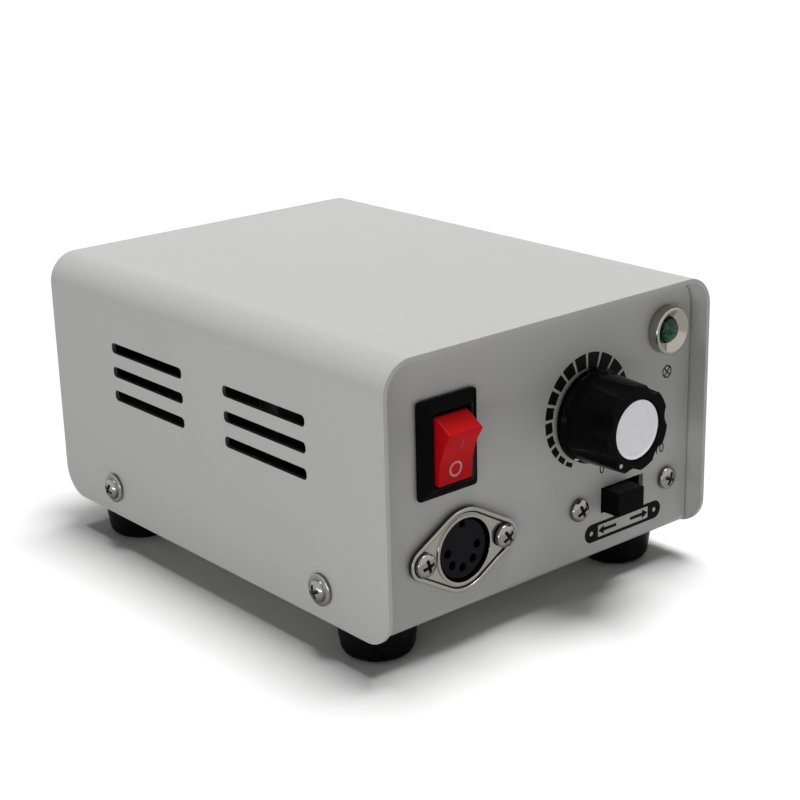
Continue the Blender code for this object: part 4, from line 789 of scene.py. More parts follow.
class Workpiece:
    """A mesh on the bench, shaped with the operators that one would use by hand."""

    def __init__(self, obj: bpy.types.Object) -> None:
        """Takes an object onto the bench."""
        self.obj = obj

    @classmethod
    def blank(cls, scale: Triple = (1.0, 1.0, 1.0)) -> "Workpiece":
        """Takes the primitive that was just added, with its size and place put into its mesh.

        Args:
            scale: The primitive's size along each axis.

        Returns:
            The piece.
        """
        bpy.context.active_object.scale = scale
        bpy.ops.object.transform_apply(location=True, rotation=True, scale=True)
        return cls(bpy.context.active_object)

    @classmethod
    def turned(cls, profile: Profile, sides: int = FINE_SIDES, bored: bool = False) -> "Workpiece":
        """Turns a piece about +Z: a circle that is extruded and resized step by step.

        Args:
            profile: (radius, height) points; a solid's first and last ones become its end faces.
            sides: How many sides the round has.
            bored: Whether the piece has no end faces; its profile may come back to its start.

        Returns:
            The piece.
        """
        fill = "NOTHING" if bored else "NGON"
        radius, height = profile[0]
        clear_selection()
        bpy.ops.mesh.primitive_circle_add(
            vertices=sides, radius=radius, fill_type=fill, location=(0.0, 0.0, height)
        )
        return cls.blank().stacked([(r / profile[0][0], r / profile[0][0], z) for r, z in profile])

    @classmethod
    def ring(cls, loop: Profile, sides: int = FINE_SIDES) -> "Workpiece":
        """Turns a piece with a bore from the closed outline of its wall."""
        return cls.turned([*loop, loop[0]], sides, bored=True)

    def stacked(self, levels: Sequence[Triple]) -> "Workpiece":
        """Extrudes a flat outline upwards or downwards, level by level.

        Args:
            levels: Shares of the width and the depth, and a height; the outline's own come first.

        Returns:
            The piece.
        """
        with self.editing(Pick.EDGES):
            for (wide, deep, height), (next_wide, next_deep, top) in zip(levels, levels[1:]):
                move = {"value": (0.0, 0.0, top - height)}
                bpy.ops.mesh.extrude_region_move(TRANSFORM_OT_translate=move)
                share = (next_wide / wide, next_deep / deep, 1.0)
                bpy.ops.transform.resize(value=share, center_override=(0.0, 0.0, top))
        return self.welded()

    @classmethod
    def plate(
        cls, size: Point, corner: float, low: float, high: float, at: Point = (0.0, 0.0)
    ) -> "Workpiece":
        """A flat plate with round corners.

        Args:
            size: Its width and height.
            corner: The radius of its corners.
            low: The height of its underside.
            high: The height of its face.
            at: Its middle.

        Returns:
            The piece.
        """
        clear_selection()
        bpy.ops.mesh.primitive_plane_add(size=1.0, location=(*at, low))
        piece = cls.blank((*size, 1.0))
        rise = {"value": (0.0, 0.0, high - low)}
        with piece.editing(Pick.VERTICES):
            if corner:
                bpy.ops.mesh.bevel(offset=corner, segments=CORNER_STEPS, affect="VERTICES")
                bpy.ops.mesh.select_all(action="SELECT")
            bpy.ops.mesh.extrude_region_move(TRANSFORM_OT_translate=rise)
        return piece.welded()

    @classmethod
    def sheet(cls, size: Point, height: float) -> "Workpiece":
        """A flat rectangle at a height.

        Args:
            size: Its width and height.
            height: The height that it lies at.

        Returns:
            The piece.
        """
        clear_selection()
        bpy.ops.mesh.primitive_plane_add(size=1.0, location=(0.0, 0.0, height))
        return cls.blank((*size, 1.0))

    @classmethod
    def block(cls, low: Vector, high: Vector) -> "Workpiece":
        """A block between two corners.

        Args:
            low: Its lowest corner.
            high: Its highest corner.

        Returns:
            The piece.
        """
        clear_selection()
        bpy.ops.mesh.primitive_cube_add(size=1.0, location=(low + high) / 2)
        return cls.blank(tuple(high - low))

    @classmethod
    def rod(
        cls, radius: float, start: Vector, end: Vector, sides: int = SMALL_SIDES
    ) -> "Workpiece":
        """A round rod between two points.

        Args:
            radius: Its radius.
            start: The middle of one end.
            end: The middle of the other end.
            sides: How many sides it has.

        Returns:
            The piece.
        """
        way = end - start
        clear_selection()
        turn = way.to_track_quat("Z", "Y").to_euler()
        bpy.ops.mesh.primitive_cylinder_add(
            vertices=sides,
            radius=radius,
            depth=way.length,
            location=(start + end) / 2,
            rotation=turn,
        )
        return cls.blank()

    @classmethod
    def sector(
        cls, radii: Point, start: float, sweep: float, low: float, high: float
    ) -> "Workpiece":
        """A sector of a ring, spun from an upright rectangle.

        Args:
            radii: The inner and the outer radius.
            start: The angle where it starts, anticlockwise from +X.
            sweep: The angle that it covers, anticlockwise.
            low: The height of its underside.
            high: The height of its face.

        Returns:
            The piece.
        """
        middle = sum(radii) / 2
        at = (middle * cos(start), middle * sin(start), (low + high) / 2)
        steps = max(2, round(sweep / SPIN_ANGLE))
        clear_selection()
        bpy.ops.mesh.primitive_plane_add(size=1.0, location=at, rotation=(pi / 2, 0.0, start))
        piece = cls.blank((radii[1] - radii[0], high - low, 1.0))
        with piece.editing(Pick.FACES):
            bpy.ops.mesh.spin(steps=steps, angle=sweep, center=ORIGIN, axis=(0.0, 0.0, 1.0))
        return piece.welded()

    @classmethod
    def numeral(cls, text: str, height: float, low: float, high: float) -> "Workpiece":
        """A plain number, printed flat.

        Args:
            text: The number.
            height: The size of its type.
            low: The height of its underside.
            high: The height of its face.

        Returns:
            The piece.
        """
        clear_selection()
        bpy.ops.object.text_add(location=(0.0, 0.0, (low + high) / 2))
        letters = bpy.context.active_object.data
        letters.body = text
        letters.size = height
        letters.extrude = (high - low) / 2
        letters.align_x = "CENTER"
        letters.align_y = "CENTER"
        bpy.ops.object.convert(target="MESH")
        return cls.blank().welded()

    @classmethod
    def copied(cls, node: str) -> "Workpiece":
        """A copy of a CAD node's mesh, merged, its flat faces whole again.

        Args:
            node: The CAD node.

        Returns:
            The piece.
        """
        mesh = frame["nodes"][node].data.copy()
        obj = bpy.data.objects.new(node, mesh)
        bpy.context.scene.collection.objects.link(obj)
        piece = cls(obj)
        with piece.editing(Pick.FACES):
            bpy.ops.mesh.remove_doubles(threshold=WELD)
            bpy.ops.mesh.customdata_custom_splitnormals_clear()
            bpy.ops.mesh.dissolve_limited(angle_limit=FLAT_ANGLE)
        return piece

    @contextmanager
    def editing(self, pick: Pick, wanted: Callable[..., bool] | None = None) -> Iterator[None]:
        """Edit mode with all of the mesh selected, or only what is wanted.

        Args:
            pick: Whether vertices, edges or faces are selected.
            wanted: Told from a vertex's place, an edge's two ends, or a face's middle and normal.

        Yields:
            Nothing; edit mode ends with the block.
        """
        activate(self.obj)
        bpy.ops.object.mode_set(mode="EDIT")
        bpy.ops.mesh.select_mode(type=pick.value)
        bpy.ops.mesh.select_all(action="DESELECT" if wanted else "SELECT")
        if wanted:
            mesh = bmesh.from_edit_mesh(self.obj.data)
            for part, places in pick.parts_of(mesh):
                part.select_set(wanted(*places))
            bmesh.update_edit_mesh(self.obj.data)
        yield
        bpy.ops.object.mode_set(mode="OBJECT")

    def welded(self) -> "Workpiece":
        """Merges doubles and points the faces out.

        Returns:
            The piece itself.
        """
        with self.editing(Pick.FACES):
            bpy.ops.mesh.remove_doubles(threshold=WELD)
            bpy.ops.mesh.normals_make_consistent(inside=False)
        return self

    def modified(self, kind: str, **settings: Any) -> "Workpiece":
        """Adds a modifier with its settings and applies it.

        Args:
            kind: The modifier's type.
            settings: Its properties.

        Returns:
            The piece itself.
        """
        activate(self.obj)
        bpy.ops.object.modifier_add(type=kind)
        modifier = self.obj.modifiers[-1]
        for key, value in settings.items():
            setattr(modifier, key, value)
        bpy.ops.object.modifier_apply(modifier=modifier.name)
        return self

    def combined(self, operation: str, others: "Sequence[Workpiece]") -> "Workpiece":
        """Takes other pieces into this one by a Boolean operation each, and discards them.

        Args:
            operation: DIFFERENCE, UNION or INTERSECT.
            others: The pieces that are taken in.

        Returns:
            The piece itself.
        """
        for other in others:
            self.modified("BOOLEAN", operation=operation, solver="EXACT", object=other.obj)
            other.discard()
        return self

    def cut(self, *others: "Workpiece") -> "Workpiece":
        """Cuts other pieces away."""
        return self.combined("DIFFERENCE", others)

    def fused(self, *others: "Workpiece") -> "Workpiece":
        """Joins other pieces on."""
        return self.combined("UNION", others)

    def gathered(self, *others: "Workpiece") -> "Workpiece":
        """Takes other pieces that don't touch this one into the same mesh.

        Args:
            others: The pieces that are taken in.

        Returns:
            The piece itself.
        """
        activate(self.obj)
        for other in others:
            other.obj.select_set(True)
        bpy.ops.object.join()
        return self

    def bevelled(self, width: float, segments: int = 3, angle: float = EDGE_ANGLE) -> "Workpiece":
        """Rounds the edges that are sharper than an angle.

        Args:
            width: How wide the round is.
            segments: How many steps it has.
            angle: The angle past which an edge is rounded.

        Returns:
            The piece itself.
        """
        return self.modified(
            "BEVEL", width=width, segments=segments, limit_method="ANGLE", angle_limit=angle
        )

    def tapered(
        self, wanted: Callable[[Vector, Vector], bool], share: Point, about: Vector
    ) -> "Workpiece":
        """Draws in the wanted faces to shares of their width and height about a point.

        Args:
            wanted: Told from a face's middle and normal.
            share: The shares.
            about: The point.

        Returns:
            The piece itself.
        """
        with self.editing(Pick.FACES, wanted):
            bpy.ops.transform.resize(value=(*share, 1.0), center_override=about)
        return self

    def painted_shade(self, shade_paint: Callable[[Vector, Vector], float]) -> "Workpiece":
        """Marks how far painted shade darkens each face, told from its middle and normal.

        Args:
            shade_paint: Gives the share of painted shade from a face's middle and normal.

        Returns:
            The piece itself.
        """
        mesh = self.obj.data
        marks = mesh.attributes.new(SHADE_ATTRIBUTE, "FLOAT", "FACE")
        for face, mark in zip(mesh.polygons, marks.data):
            mark.value = float(shade_paint(face.center, face.normal))
        return self

    def twin(self) -> "Workpiece":
        """A copy with its own mesh.

        Returns:
            The copy.
        """
        obj = self.obj.copy()
        obj.data = self.obj.data.copy()
        bpy.context.scene.collection.objects.link(obj)
        return Workpiece(obj)

    def discard(self) -> None:
        """Takes the piece off the bench."""
        mesh = self.obj.data
        bpy.data.objects.remove(self.obj)
        bpy.data.meshes.remove(mesh)

    def turned_by(self, turn: Triple, at: Vector = ORIGIN) -> "Workpiece":
        """Turns the piece about the origin and then moves it, all in its mesh.

        Args:
            turn: The angles about X, Y and Z.
            at: Where the origin goes.

        Returns:
            The piece itself.
        """
        activate(self.obj)
        self.obj.rotation_euler = turn
        self.obj.location = at
        bpy.ops.object.transform_apply(location=True, rotation=True, scale=True)
        return self

    def moved(self, at: Vector) -> "Workpiece":
        """Moves the piece."""
        return self.turned_by((0.0, 0.0, 0.0), at)

    def spun(self, turn: float, at: Vector = ORIGIN) -> "Workpiece":
        """Turns the piece about +Z and then moves it."""
        return self.turned_by((0.0, 0.0, turn), at)

    def seated(self, facing: Facing, at: Vector) -> "Workpiece":
        """Sets the piece on a face of the box."""
        return self.turned_by(facing.value, at)

    def smoothed(self) -> "Workpiece":
        """Shades bends smooth, keeps edges crisp and flat faces flat.

        Returns:
            The piece itself.
        """
        activate(self.obj)
        bpy.ops.object.shade_smooth_by_angle(angle=SMOOTH_ANGLE)
        return self.modified("WEIGHTED_NORMAL", keep_sharp=True, weight=50)

    def fitted(self, name: str, finish: Finish, *nodes: str, body: Body = Body.CASE) -> None:
        """Finishes the piece and hands it to the body that carries it.

        Args:
            name: The piece's name.
            finish: Its finish.
            nodes: The CAD nodes that it stands for.
            body: The body that it rides on.
        """
        self.smoothed()
        self.obj.name = self.obj.data.name = name
        self.obj.data.materials.clear()
        self.obj.data.materials.append(finish.material())
        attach(self.obj, body.value)
        if nodes:
            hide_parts(*nodes)
        log.info("%s: %d faces, on %s", name, len(self.obj.data.polygons), body.value)


def up(height: float) -> Vector:
    """The place on the bench's axis at a height."""
    return Vector((0.0, 0.0, height))


def middle_of(node: str) -> Vector:
    """The middle of a CAD node's box."""
    return sum(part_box(node), Vector()) / 2


def seat_of(node: str, facing: Facing, stand: float) -> Vector:
    """Where a piece's bench origin goes, if its tip stands that high above the origin.

    Args:
        node: The CAD node that has the piece's tip.
        facing: The face that the piece is on.
        stand: How far its tip is from its bench origin.

    Returns:
        The place in the frame.
    """
    low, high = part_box(node)
    reach = abs(facing.out.dot((high - low) / 2))
    return (low + high) / 2 + facing.out * (reach - stand)


def dome(radius: float, low: float, high: float, tip: float) -> Profile:
    """(radius, height) points of a quarter of an ellipse, from its foot up to a small tip.

    Args:
        radius: The radius of its foot.
        low: The height of its foot.
        high: The height of its tip.
        tip: The radius of its tip.

    Returns:
        The points.
    """
    points = []
    for step in range(DOME_STEPS):
        angle = pi / 2 * step / DOME_STEPS
        points.append((max(tip, radius * cos(angle)), low + (high - low) * sin(angle)))
    return points + [(tip, high)]


# Sub-assemblies


@dataclass(frozen=True)
class Cover:
    """The folded sheet cover."""

    sheet: float = 0.0010
    bend: float = 0.0070
    corner: float = 0.0070
    edge: float = 0.00022
    edge_angle: float = radians(50)
    slot_size: Point = (0.0286, 0.0025)
    slot_corner: float = 0.0010
    slot_pitch: float = 0.00575
    slot_rows: int = 3
    slot_wall_shade: float = 0.85
    top_slot_rise: float = 0.0426
    slots_from_front: float = 0.0392
    slots_from_rear: float = 0.0403
    hole: float = 0.0018

    def build(self) -> None:
        """Folds the sheet, punches it and paints it."""
        low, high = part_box("cover")
        piece = self.folded(low, high)
        piece.cut(*self.punches(low, high))
        piece.bevelled(self.edge, 2, self.edge_angle)
        # The walls of the vent slots get painted shade.
        piece.painted_shade(lambda at, normal: self.on_slot_wall(low, high, at, normal))
        piece.fitted("cover_sheet", PAINT, "cover")

    def folded(self, low: Vector, high: Vector) -> Workpiece:
        """A block without its ends and its bottom, its long edges bent, given a thickness.

        Args:
            low: The lowest corner of the cover's box.
            high: Its highest corner.

        Returns:
            The sheet.
        """
        piece = Workpiece.block(low, high)
        steps = 2 * CORNER_STEPS
        with piece.editing(Pick.FACES, lambda middle, normal: abs(normal.y) > 0.5 or normal.z < -0.5):
            bpy.ops.mesh.delete(type="FACE")
        with piece.editing(
            Pick.EDGES, lambda a, b: min(a.z, b.z) > high.z - WELD and abs(a.x - b.x) < WELD
        ):
            bpy.ops.mesh.bevel(offset=self.bend, segments=steps, affect="EDGES")
        with piece.editing(Pick.VERTICES, lambda place: place.z < low.z + WELD):
            bpy.ops.mesh.bevel(offset=self.corner, segments=steps, affect="VERTICES")
        return piece.modified("SOLIDIFY", thickness=self.sheet, offset=-1.0, use_even_offset=True)

    def on_slot_wall(self, low: Vector, high: Vector, at: Vector, normal: Vector) -> float:
        """How dark a face is painted: the walls of the slots get painted shade.

        Args:
            low: The lowest corner of the cover's box.
            high: Its highest corner.
            at: The face's middle.
            normal: Its normal.

        Returns:
            A share between 0 and 1.
        """
        beside = low.z + self.slot_pitch < at.z < low.z + self.top_slot_rise + self.slot_pitch
        between = low.y + self.bend < at.y < high.y - self.bend
        return float(beside and between and abs(normal.x) < 0.5) * self.slot_wall_shade

    def punches(self, low: Vector, high: Vector) -> list[Workpiece]:
        """Cutters for the vent slots and the screw holes of both sides at once.

        Args:
            low: The lowest corner of the cover's box.
            high: Its highest corner.

        Returns:
            The cutters.
        """
        reach = high.x + OVERRUN
        made = []
        for y in (low.y + self.slots_from_front, high.y - self.slots_from_rear):
            for row in range(self.slot_rows):
                z = low.z + self.top_slot_rise - row * self.slot_pitch
                slot = Workpiece.plate(self.slot_size, self.slot_corner, -reach, reach)
                made.append(slot.turned_by((pi / 2, 0.0, pi / 2), Vector((0.0, y, z))))
        for row in ROWS:
            middle = middle_of(f"cover_screw_{row}_left")
            start, end = (Vector((x, middle.y, middle.z)) for x in (-reach, reach))
            made.append(Workpiece.rod(self.hole, start, end))
        return made


@dataclass(frozen=True)
class Softened:
    """A CAD node's own shape with its edges broken."""

    node: str
    finish: Finish
    edge: float = 0.00012
    body: Body = Body.CASE

    def build(self) -> None:
        """Copies the node, breaks its edges and dresses it."""
        piece = Workpiece.copied(self.node).bevelled(self.edge, 2)
        piece.fitted(f"{self.node}_finished", self.finish, self.node, body=self.body)


@dataclass(frozen=True)
class Screw:
    """A cross-head screw, its head's underside on the bench origin."""

    head: float = 0.0026
    height: float = 0.0016
    rim: float = 0.0005
    washer: float = 0.0
    shank: float = 0.0015
    length: float = 0.0080
    cross_span: float = 0.0046
    cross_width: float = 0.00100
    cross_depth: float = 0.0012
    cross_taper: Point = (0.45, 0.6)
    tip_share: float = 0.12
    lip_share: float = 0.75
    edge: float = 0.00007
    edge_angle: float = radians(40)
    wall_shade: float = 0.8
    foot_shade: float = 0.35

    def model(self) -> Workpiece:
        """Turns the screw and punches its cross.

        Returns:
            The screw.
        """
        profile = [(self.shank, -self.length), (self.shank, 0.0)]
        if self.washer:
            lip = self.rim * self.lip_share
            profile += [(self.washer, 0.0), (self.washer, lip), (self.washer - lip / 2, self.rim)]
        else:
            profile.append((self.head, 0.0))
        profile += dome(self.head, self.rim, self.height, self.head * self.tip_share)
        piece = Workpiece.turned(profile, SMALL_SIDES)
        piece.cut(*[self.arm(turn) for turn in (0.0, pi / 2)])
        # The cross, the head's wall and the dome's foot get painted shade, a dark recess and a dark ring
        # round the head.
        return piece.bevelled(self.edge, 2, self.edge_angle).painted_shade(self.shade_on)

    def shade_on(self, middle: Vector, normal: Vector) -> float:
        """How dark a face is painted as shade: the cross wholly, the head's wall and the dome's foot in
        part.

        Args:
            middle: The face's middle.
            normal: Its normal.

        Returns:
            A share between 0 and 1.
        """
        reach = hypot(middle.x, middle.y)
        if reach > self.head + self.edge or middle.z < 0.0:
            return 0.0
        share = min(1.0, reach / self.head)
        crown = self.rim + (self.height - self.rim) * (1.0 - share**2) ** 0.5
        if reach < self.cross_span / 2 and self.rim / 2 < middle.z < crown - self.edge:
            return 1.0
        if middle.z < self.rim:
            return self.wall_shade
        return self.foot_shade if normal.z < 0.5 else 0.0

    def arm(self, turn: float) -> Workpiece:
        """One wing of the cross, narrower at its tip.

        Args:
            turn: Its turn about the screw's axis.

        Returns:
            The cutter.
        """
        half = Vector((self.cross_span / 2, self.cross_width / 2, 0.0))
        floor = up(self.height - self.cross_depth)
        top = up(self.height + self.cross_width)
        wing = Workpiece.block(floor - half, top + half)
        wing.tapered(lambda middle, normal: normal.z < -0.5, self.cross_taper, floor)
        return wing.spun(turn)

    def set_in(self, nodes: dict[str, Facing], turns: Sequence[float], finish: Finish) -> None:
        """Sets a screw on each node's place, each driven home at a different angle.

        Args:
            nodes: The screws' nodes, each with the face that it is in.
            turns: The turn of each one's cross.
            finish: Their finish.
        """
        first = self.model()
        for (node, facing), turn in zip(nodes.items(), turns):
            screw = first.twin().spun(turn).seated(facing, seat_of(node, facing, self.height))
            screw.fitted(f"{node}_turned", finish, node)
        first.discard()


@dataclass(frozen=True)
class Nut:
    """A hexagon nut with chamfered corners, from the bench origin up."""

    flats: float
    height: float
    bore: float
    chamfer: float = 0.0004
    edge_angle: float = radians(40)

    def model(self) -> Workpiece:
        """A hexagon, cut back to a cone at both faces and bored.

        Returns:
            The nut.
        """
        corner = self.flats / 2 / cos(pi / 6)
        piece = Workpiece.turned([(corner, 0.0), (corner, self.height)], 6)
        inner, drop = self.flats / 2, self.chamfer
        drum = [(inner, 0.0), (corner, drop), (corner, self.height - drop), (inner, self.height)]
        piece.combined("INTERSECT", [Workpiece.turned(drum, SMALL_SIDES)])
        low, high = up(-OVERRUN), up(self.height + OVERRUN)
        piece.cut(Workpiece.rod(self.bore, low, high))
        return piece.bevelled(self.chamfer / 4, 1, self.edge_angle)

    def set_on(self, node: str, facing: Facing, finish: Finish) -> None:
        """Sets the nut on its node's place."""
        piece = self.model().seated(facing, seat_of(node, facing, self.height))
        piece.fitted(f"{node}_hexagon", finish, node)


@dataclass(frozen=True)
class Feet:
    """Four rubber feet, each with a well for its screw."""

    height: float = 0.0078
    top: float = 0.0087
    sole: float = 0.0080
    rounding: float = 0.0026
    well: float = 0.0038
    well_depth: float = 0.0040
    bore: float = 0.0018
    edge: float = 0.0004

    def build(self) -> None:
        """Turns one foot and sets a copy at each corner."""
        flat = self.sole - self.rounding
        corner = [
            (flat + self.rounding * sin(a), self.rounding * (1.0 - cos(a)))
            for a in (pi / 2 * k / DOME_STEPS for k in range(DOME_STEPS + 1))
        ]
        loop = [
            (self.bore, self.height), (self.bore, self.well_depth), (self.well, self.well_depth),
            (self.well, 0.0), *corner, (self.top, self.height),
        ]
        first = Workpiece.ring(loop).bevelled(self.edge)
        for place in CORNERS:
            node = f"foot_{place}"
            foot = first.twin().seated(Facing.UP, seat_of(node, Facing.UP, self.height))
            foot.fitted(f"rubber_{node}", RUBBER, node)
        first.discard()


@dataclass(frozen=True)
class PowerSwitch:
    """The rocker switch: a bezel on a housing with a well, and the red rocker in it."""

    stand: float = 0.0023
    seat: float = 0.0003
    bezel_stand: float = 0.0010
    bezel_corner: float = 0.0009
    bezel_edge: float = 0.00025
    ledge: Point = (0.0018, 0.0020)
    frame_inset: float = 0.0006
    frame_land: float = 0.0004
    frame_edge: float = 0.0002
    shell_corner: float = 0.0005
    wall: Point = (0.0013, 0.0007)
    well_depth: float = 0.00461
    lip: float = 0.00012
    lip_angle: float = radians(60)
    pin: float = 0.0009
    pin_gap: float = 0.0001
    pin_end_gap: float = 0.0003
    pivot_depth: float = 0.0002
    tilt: float = radians(17.3)
    width: float = 0.0089
    reach: float = 0.0054
    half_height: float = 0.00615
    hollow: float = 0.0011
    shoulder_reach: float = 0.0002
    shoulder_half_height: float = 0.0074
    skirt: float = 0.0006
    hub: float = 0.0022
    pin_reach: float = 0.0011
    rocker_edge: float = 0.00038
    mark_height: float = 0.00003
    mark_cuts: int = 4
    ring: Point = (0.00125, 0.00168)
    ring_at: Point = (0.0, -0.0032)
    bar: Point = (0.00050, 0.0023)
    bar_at: Point = (0.0004, 0.0027)

    def build(self) -> None:
        """Makes the housing, the rocker and the rocker's marks."""
        seat = seat_of("power_switch_housing", Facing.FRONT, self.stand)
        housing = self.housing(seat).seated(Facing.FRONT, seat)
        housing.fitted("switch_housing_with_bezel", BLACK, "power_switch_housing")
        rocker = self.rocker()
        outline = [(radius, self.reach) for radius in self.ring]
        ring = Workpiece.turned(outline, SMALL_SIDES, bored=True)
        bar = Workpiece.sheet(self.bar, self.reach)
        self.printed("off_ring", ring, rocker, seat, self.ring_at, PALE_INK)
        self.printed("on_bar", bar, rocker, seat, self.bar_at, MAUVE_INK)
        self.tilted(rocker, seat).fitted("red_rocker", RED, "power_rocker", body=Body.ROCKER)

    def tilted(self, piece: Workpiece, seat: Vector) -> Workpiece:
        """Turns a piece about the pivot to the rocker's place at rest."""
        piece.turned_by((self.tilt, 0.0, 0.0), up(-self.pivot_depth))
        return piece.seated(Facing.FRONT, seat)

    def housing(self, seat: Vector) -> Workpiece:
        """The bezel, its raised frame and the shell, with the well and the pivot's holes.

        Args:
            seat: The switch's place in the panel.

        Returns:
            The housing.
        """
        low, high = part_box("power_switch_housing")
        size = (high.x - low.x, high.z - low.z)
        shell_size = (size[0] - 2 * self.ledge[0], size[1] - 2 * self.ledge[1])
        well_size = (shell_size[0] - 2 * self.wall[0], shell_size[1] - 2 * self.wall[1])
        piece = Workpiece.plate(size, self.bezel_corner, self.seat, self.bezel_stand)
        piece.bevelled(self.bezel_edge).fused(self.raised_frame(size, well_size))
        depth = high.y - seat.y
        piece.fused(Workpiece.plate(shell_size, self.shell_corner, -depth, self.seat + self.lip))
        top = self.stand + OVERRUN
        piece.cut(Workpiece.plate(well_size, self.shell_corner, -self.well_depth, top))
        hole = self.across(self.pin + self.pin_gap, self.pin_reach + self.pin_end_gap)
        return piece.cut(hole.moved(up(-self.pivot_depth))).bevelled(self.lip, 2, self.lip_angle)

    def raised_frame(self, size: Point, well_size: Point) -> Workpiece:
        """The frame round the well, its flanks drawn in towards its top.

        Args:
            size: The bezel's width and height.
            well_size: The well's width and height.

        Returns:
            The frame.
        """
        foot = tuple(side - 2 * self.frame_inset for side in size)
        share = tuple((side + 2 * self.frame_land) / base for side, base in zip(well_size, foot))
        frame = Workpiece.plate(foot, self.bezel_corner, self.bezel_stand - self.lip, self.stand)
        frame.tapered(lambda middle, normal: normal.z > 0.5, share, up(self.stand))
        return frame.bevelled(self.frame_edge)

    def across(
        self, radius: float, beyond: float, middle: float = 0.0, sides: int = SMALL_SIDES
    ) -> Workpiece:
        """A rod along X that reaches beyond both of the rocker's sides.

        Args:
            radius: Its radius.
            beyond: How far it reaches past each side.
            middle: The height of its axis.
            sides: How many sides it has.

        Returns:
            The rod.
        """
        half = self.width / 2 + beyond
        start, end = (Vector((x, 0.0, middle)) for x in (-half, half))
        return Workpiece.rod(radius, start, end, sides)

    def rocker(self) -> Workpiece:
        """The rocker about its pivot: a stack of levels whose face is hollowed by a large drum.

        Returns:
            The rocker.
        """
        hub, wide = 2 * self.hub, 2 * self.shoulder_half_height
        piece = Workpiece.sheet((self.width, hub), -self.hub)
        shares = [
            (1.0, -self.hub), (wide / hub, self.shoulder_reach - self.skirt),
            (wide / hub, self.shoulder_reach), (2 * self.half_height / hub, self.reach),
        ]
        piece.stacked([(1.0, deep, height) for deep, height in shares]).bevelled(self.rocker_edge)
        drum = hypot(self.half_height, self.hollow) ** 2 / (2 * self.hollow)
        piece.cut(self.across(drum, OVERRUN, self.reach - self.hollow + drum, 4 * FINE_SIDES))
        return piece.fused(self.across(self.pin, self.pin_reach))

    def printed(
        self, name: str, mark: Workpiece, rocker: Workpiece, seat: Vector, at: Point, ink: Ink
    ) -> None:
        """Lays a flat mark on the rocker's hollow face and gives it the ink's thickness.

        Args:
            name: The mark's name.
            mark: The flat mark, at the height of the rocker's ends.
            rocker: The rocker, still on the bench.
            seat: The switch's place in the panel.
            at: The mark's middle on the rocker's face.
            ink: The ink that it is printed in.
        """
        mark.moved(Vector((*at, 0.0)))
        with mark.editing(Pick.FACES):
            bpy.ops.mesh.subdivide(number_cuts=self.mark_cuts)
        mark.modified(
            "SHRINKWRAP",
            target=rocker.obj,
            wrap_method="PROJECT",
            use_project_z=True,
            use_negative_direction=True,
        )
        mark.modified("SOLIDIFY", thickness=2 * self.mark_height, offset=0.0).welded()
        self.tilted(mark, seat).fitted(f"rocker_{name}", ink, body=Body.ROCKER)


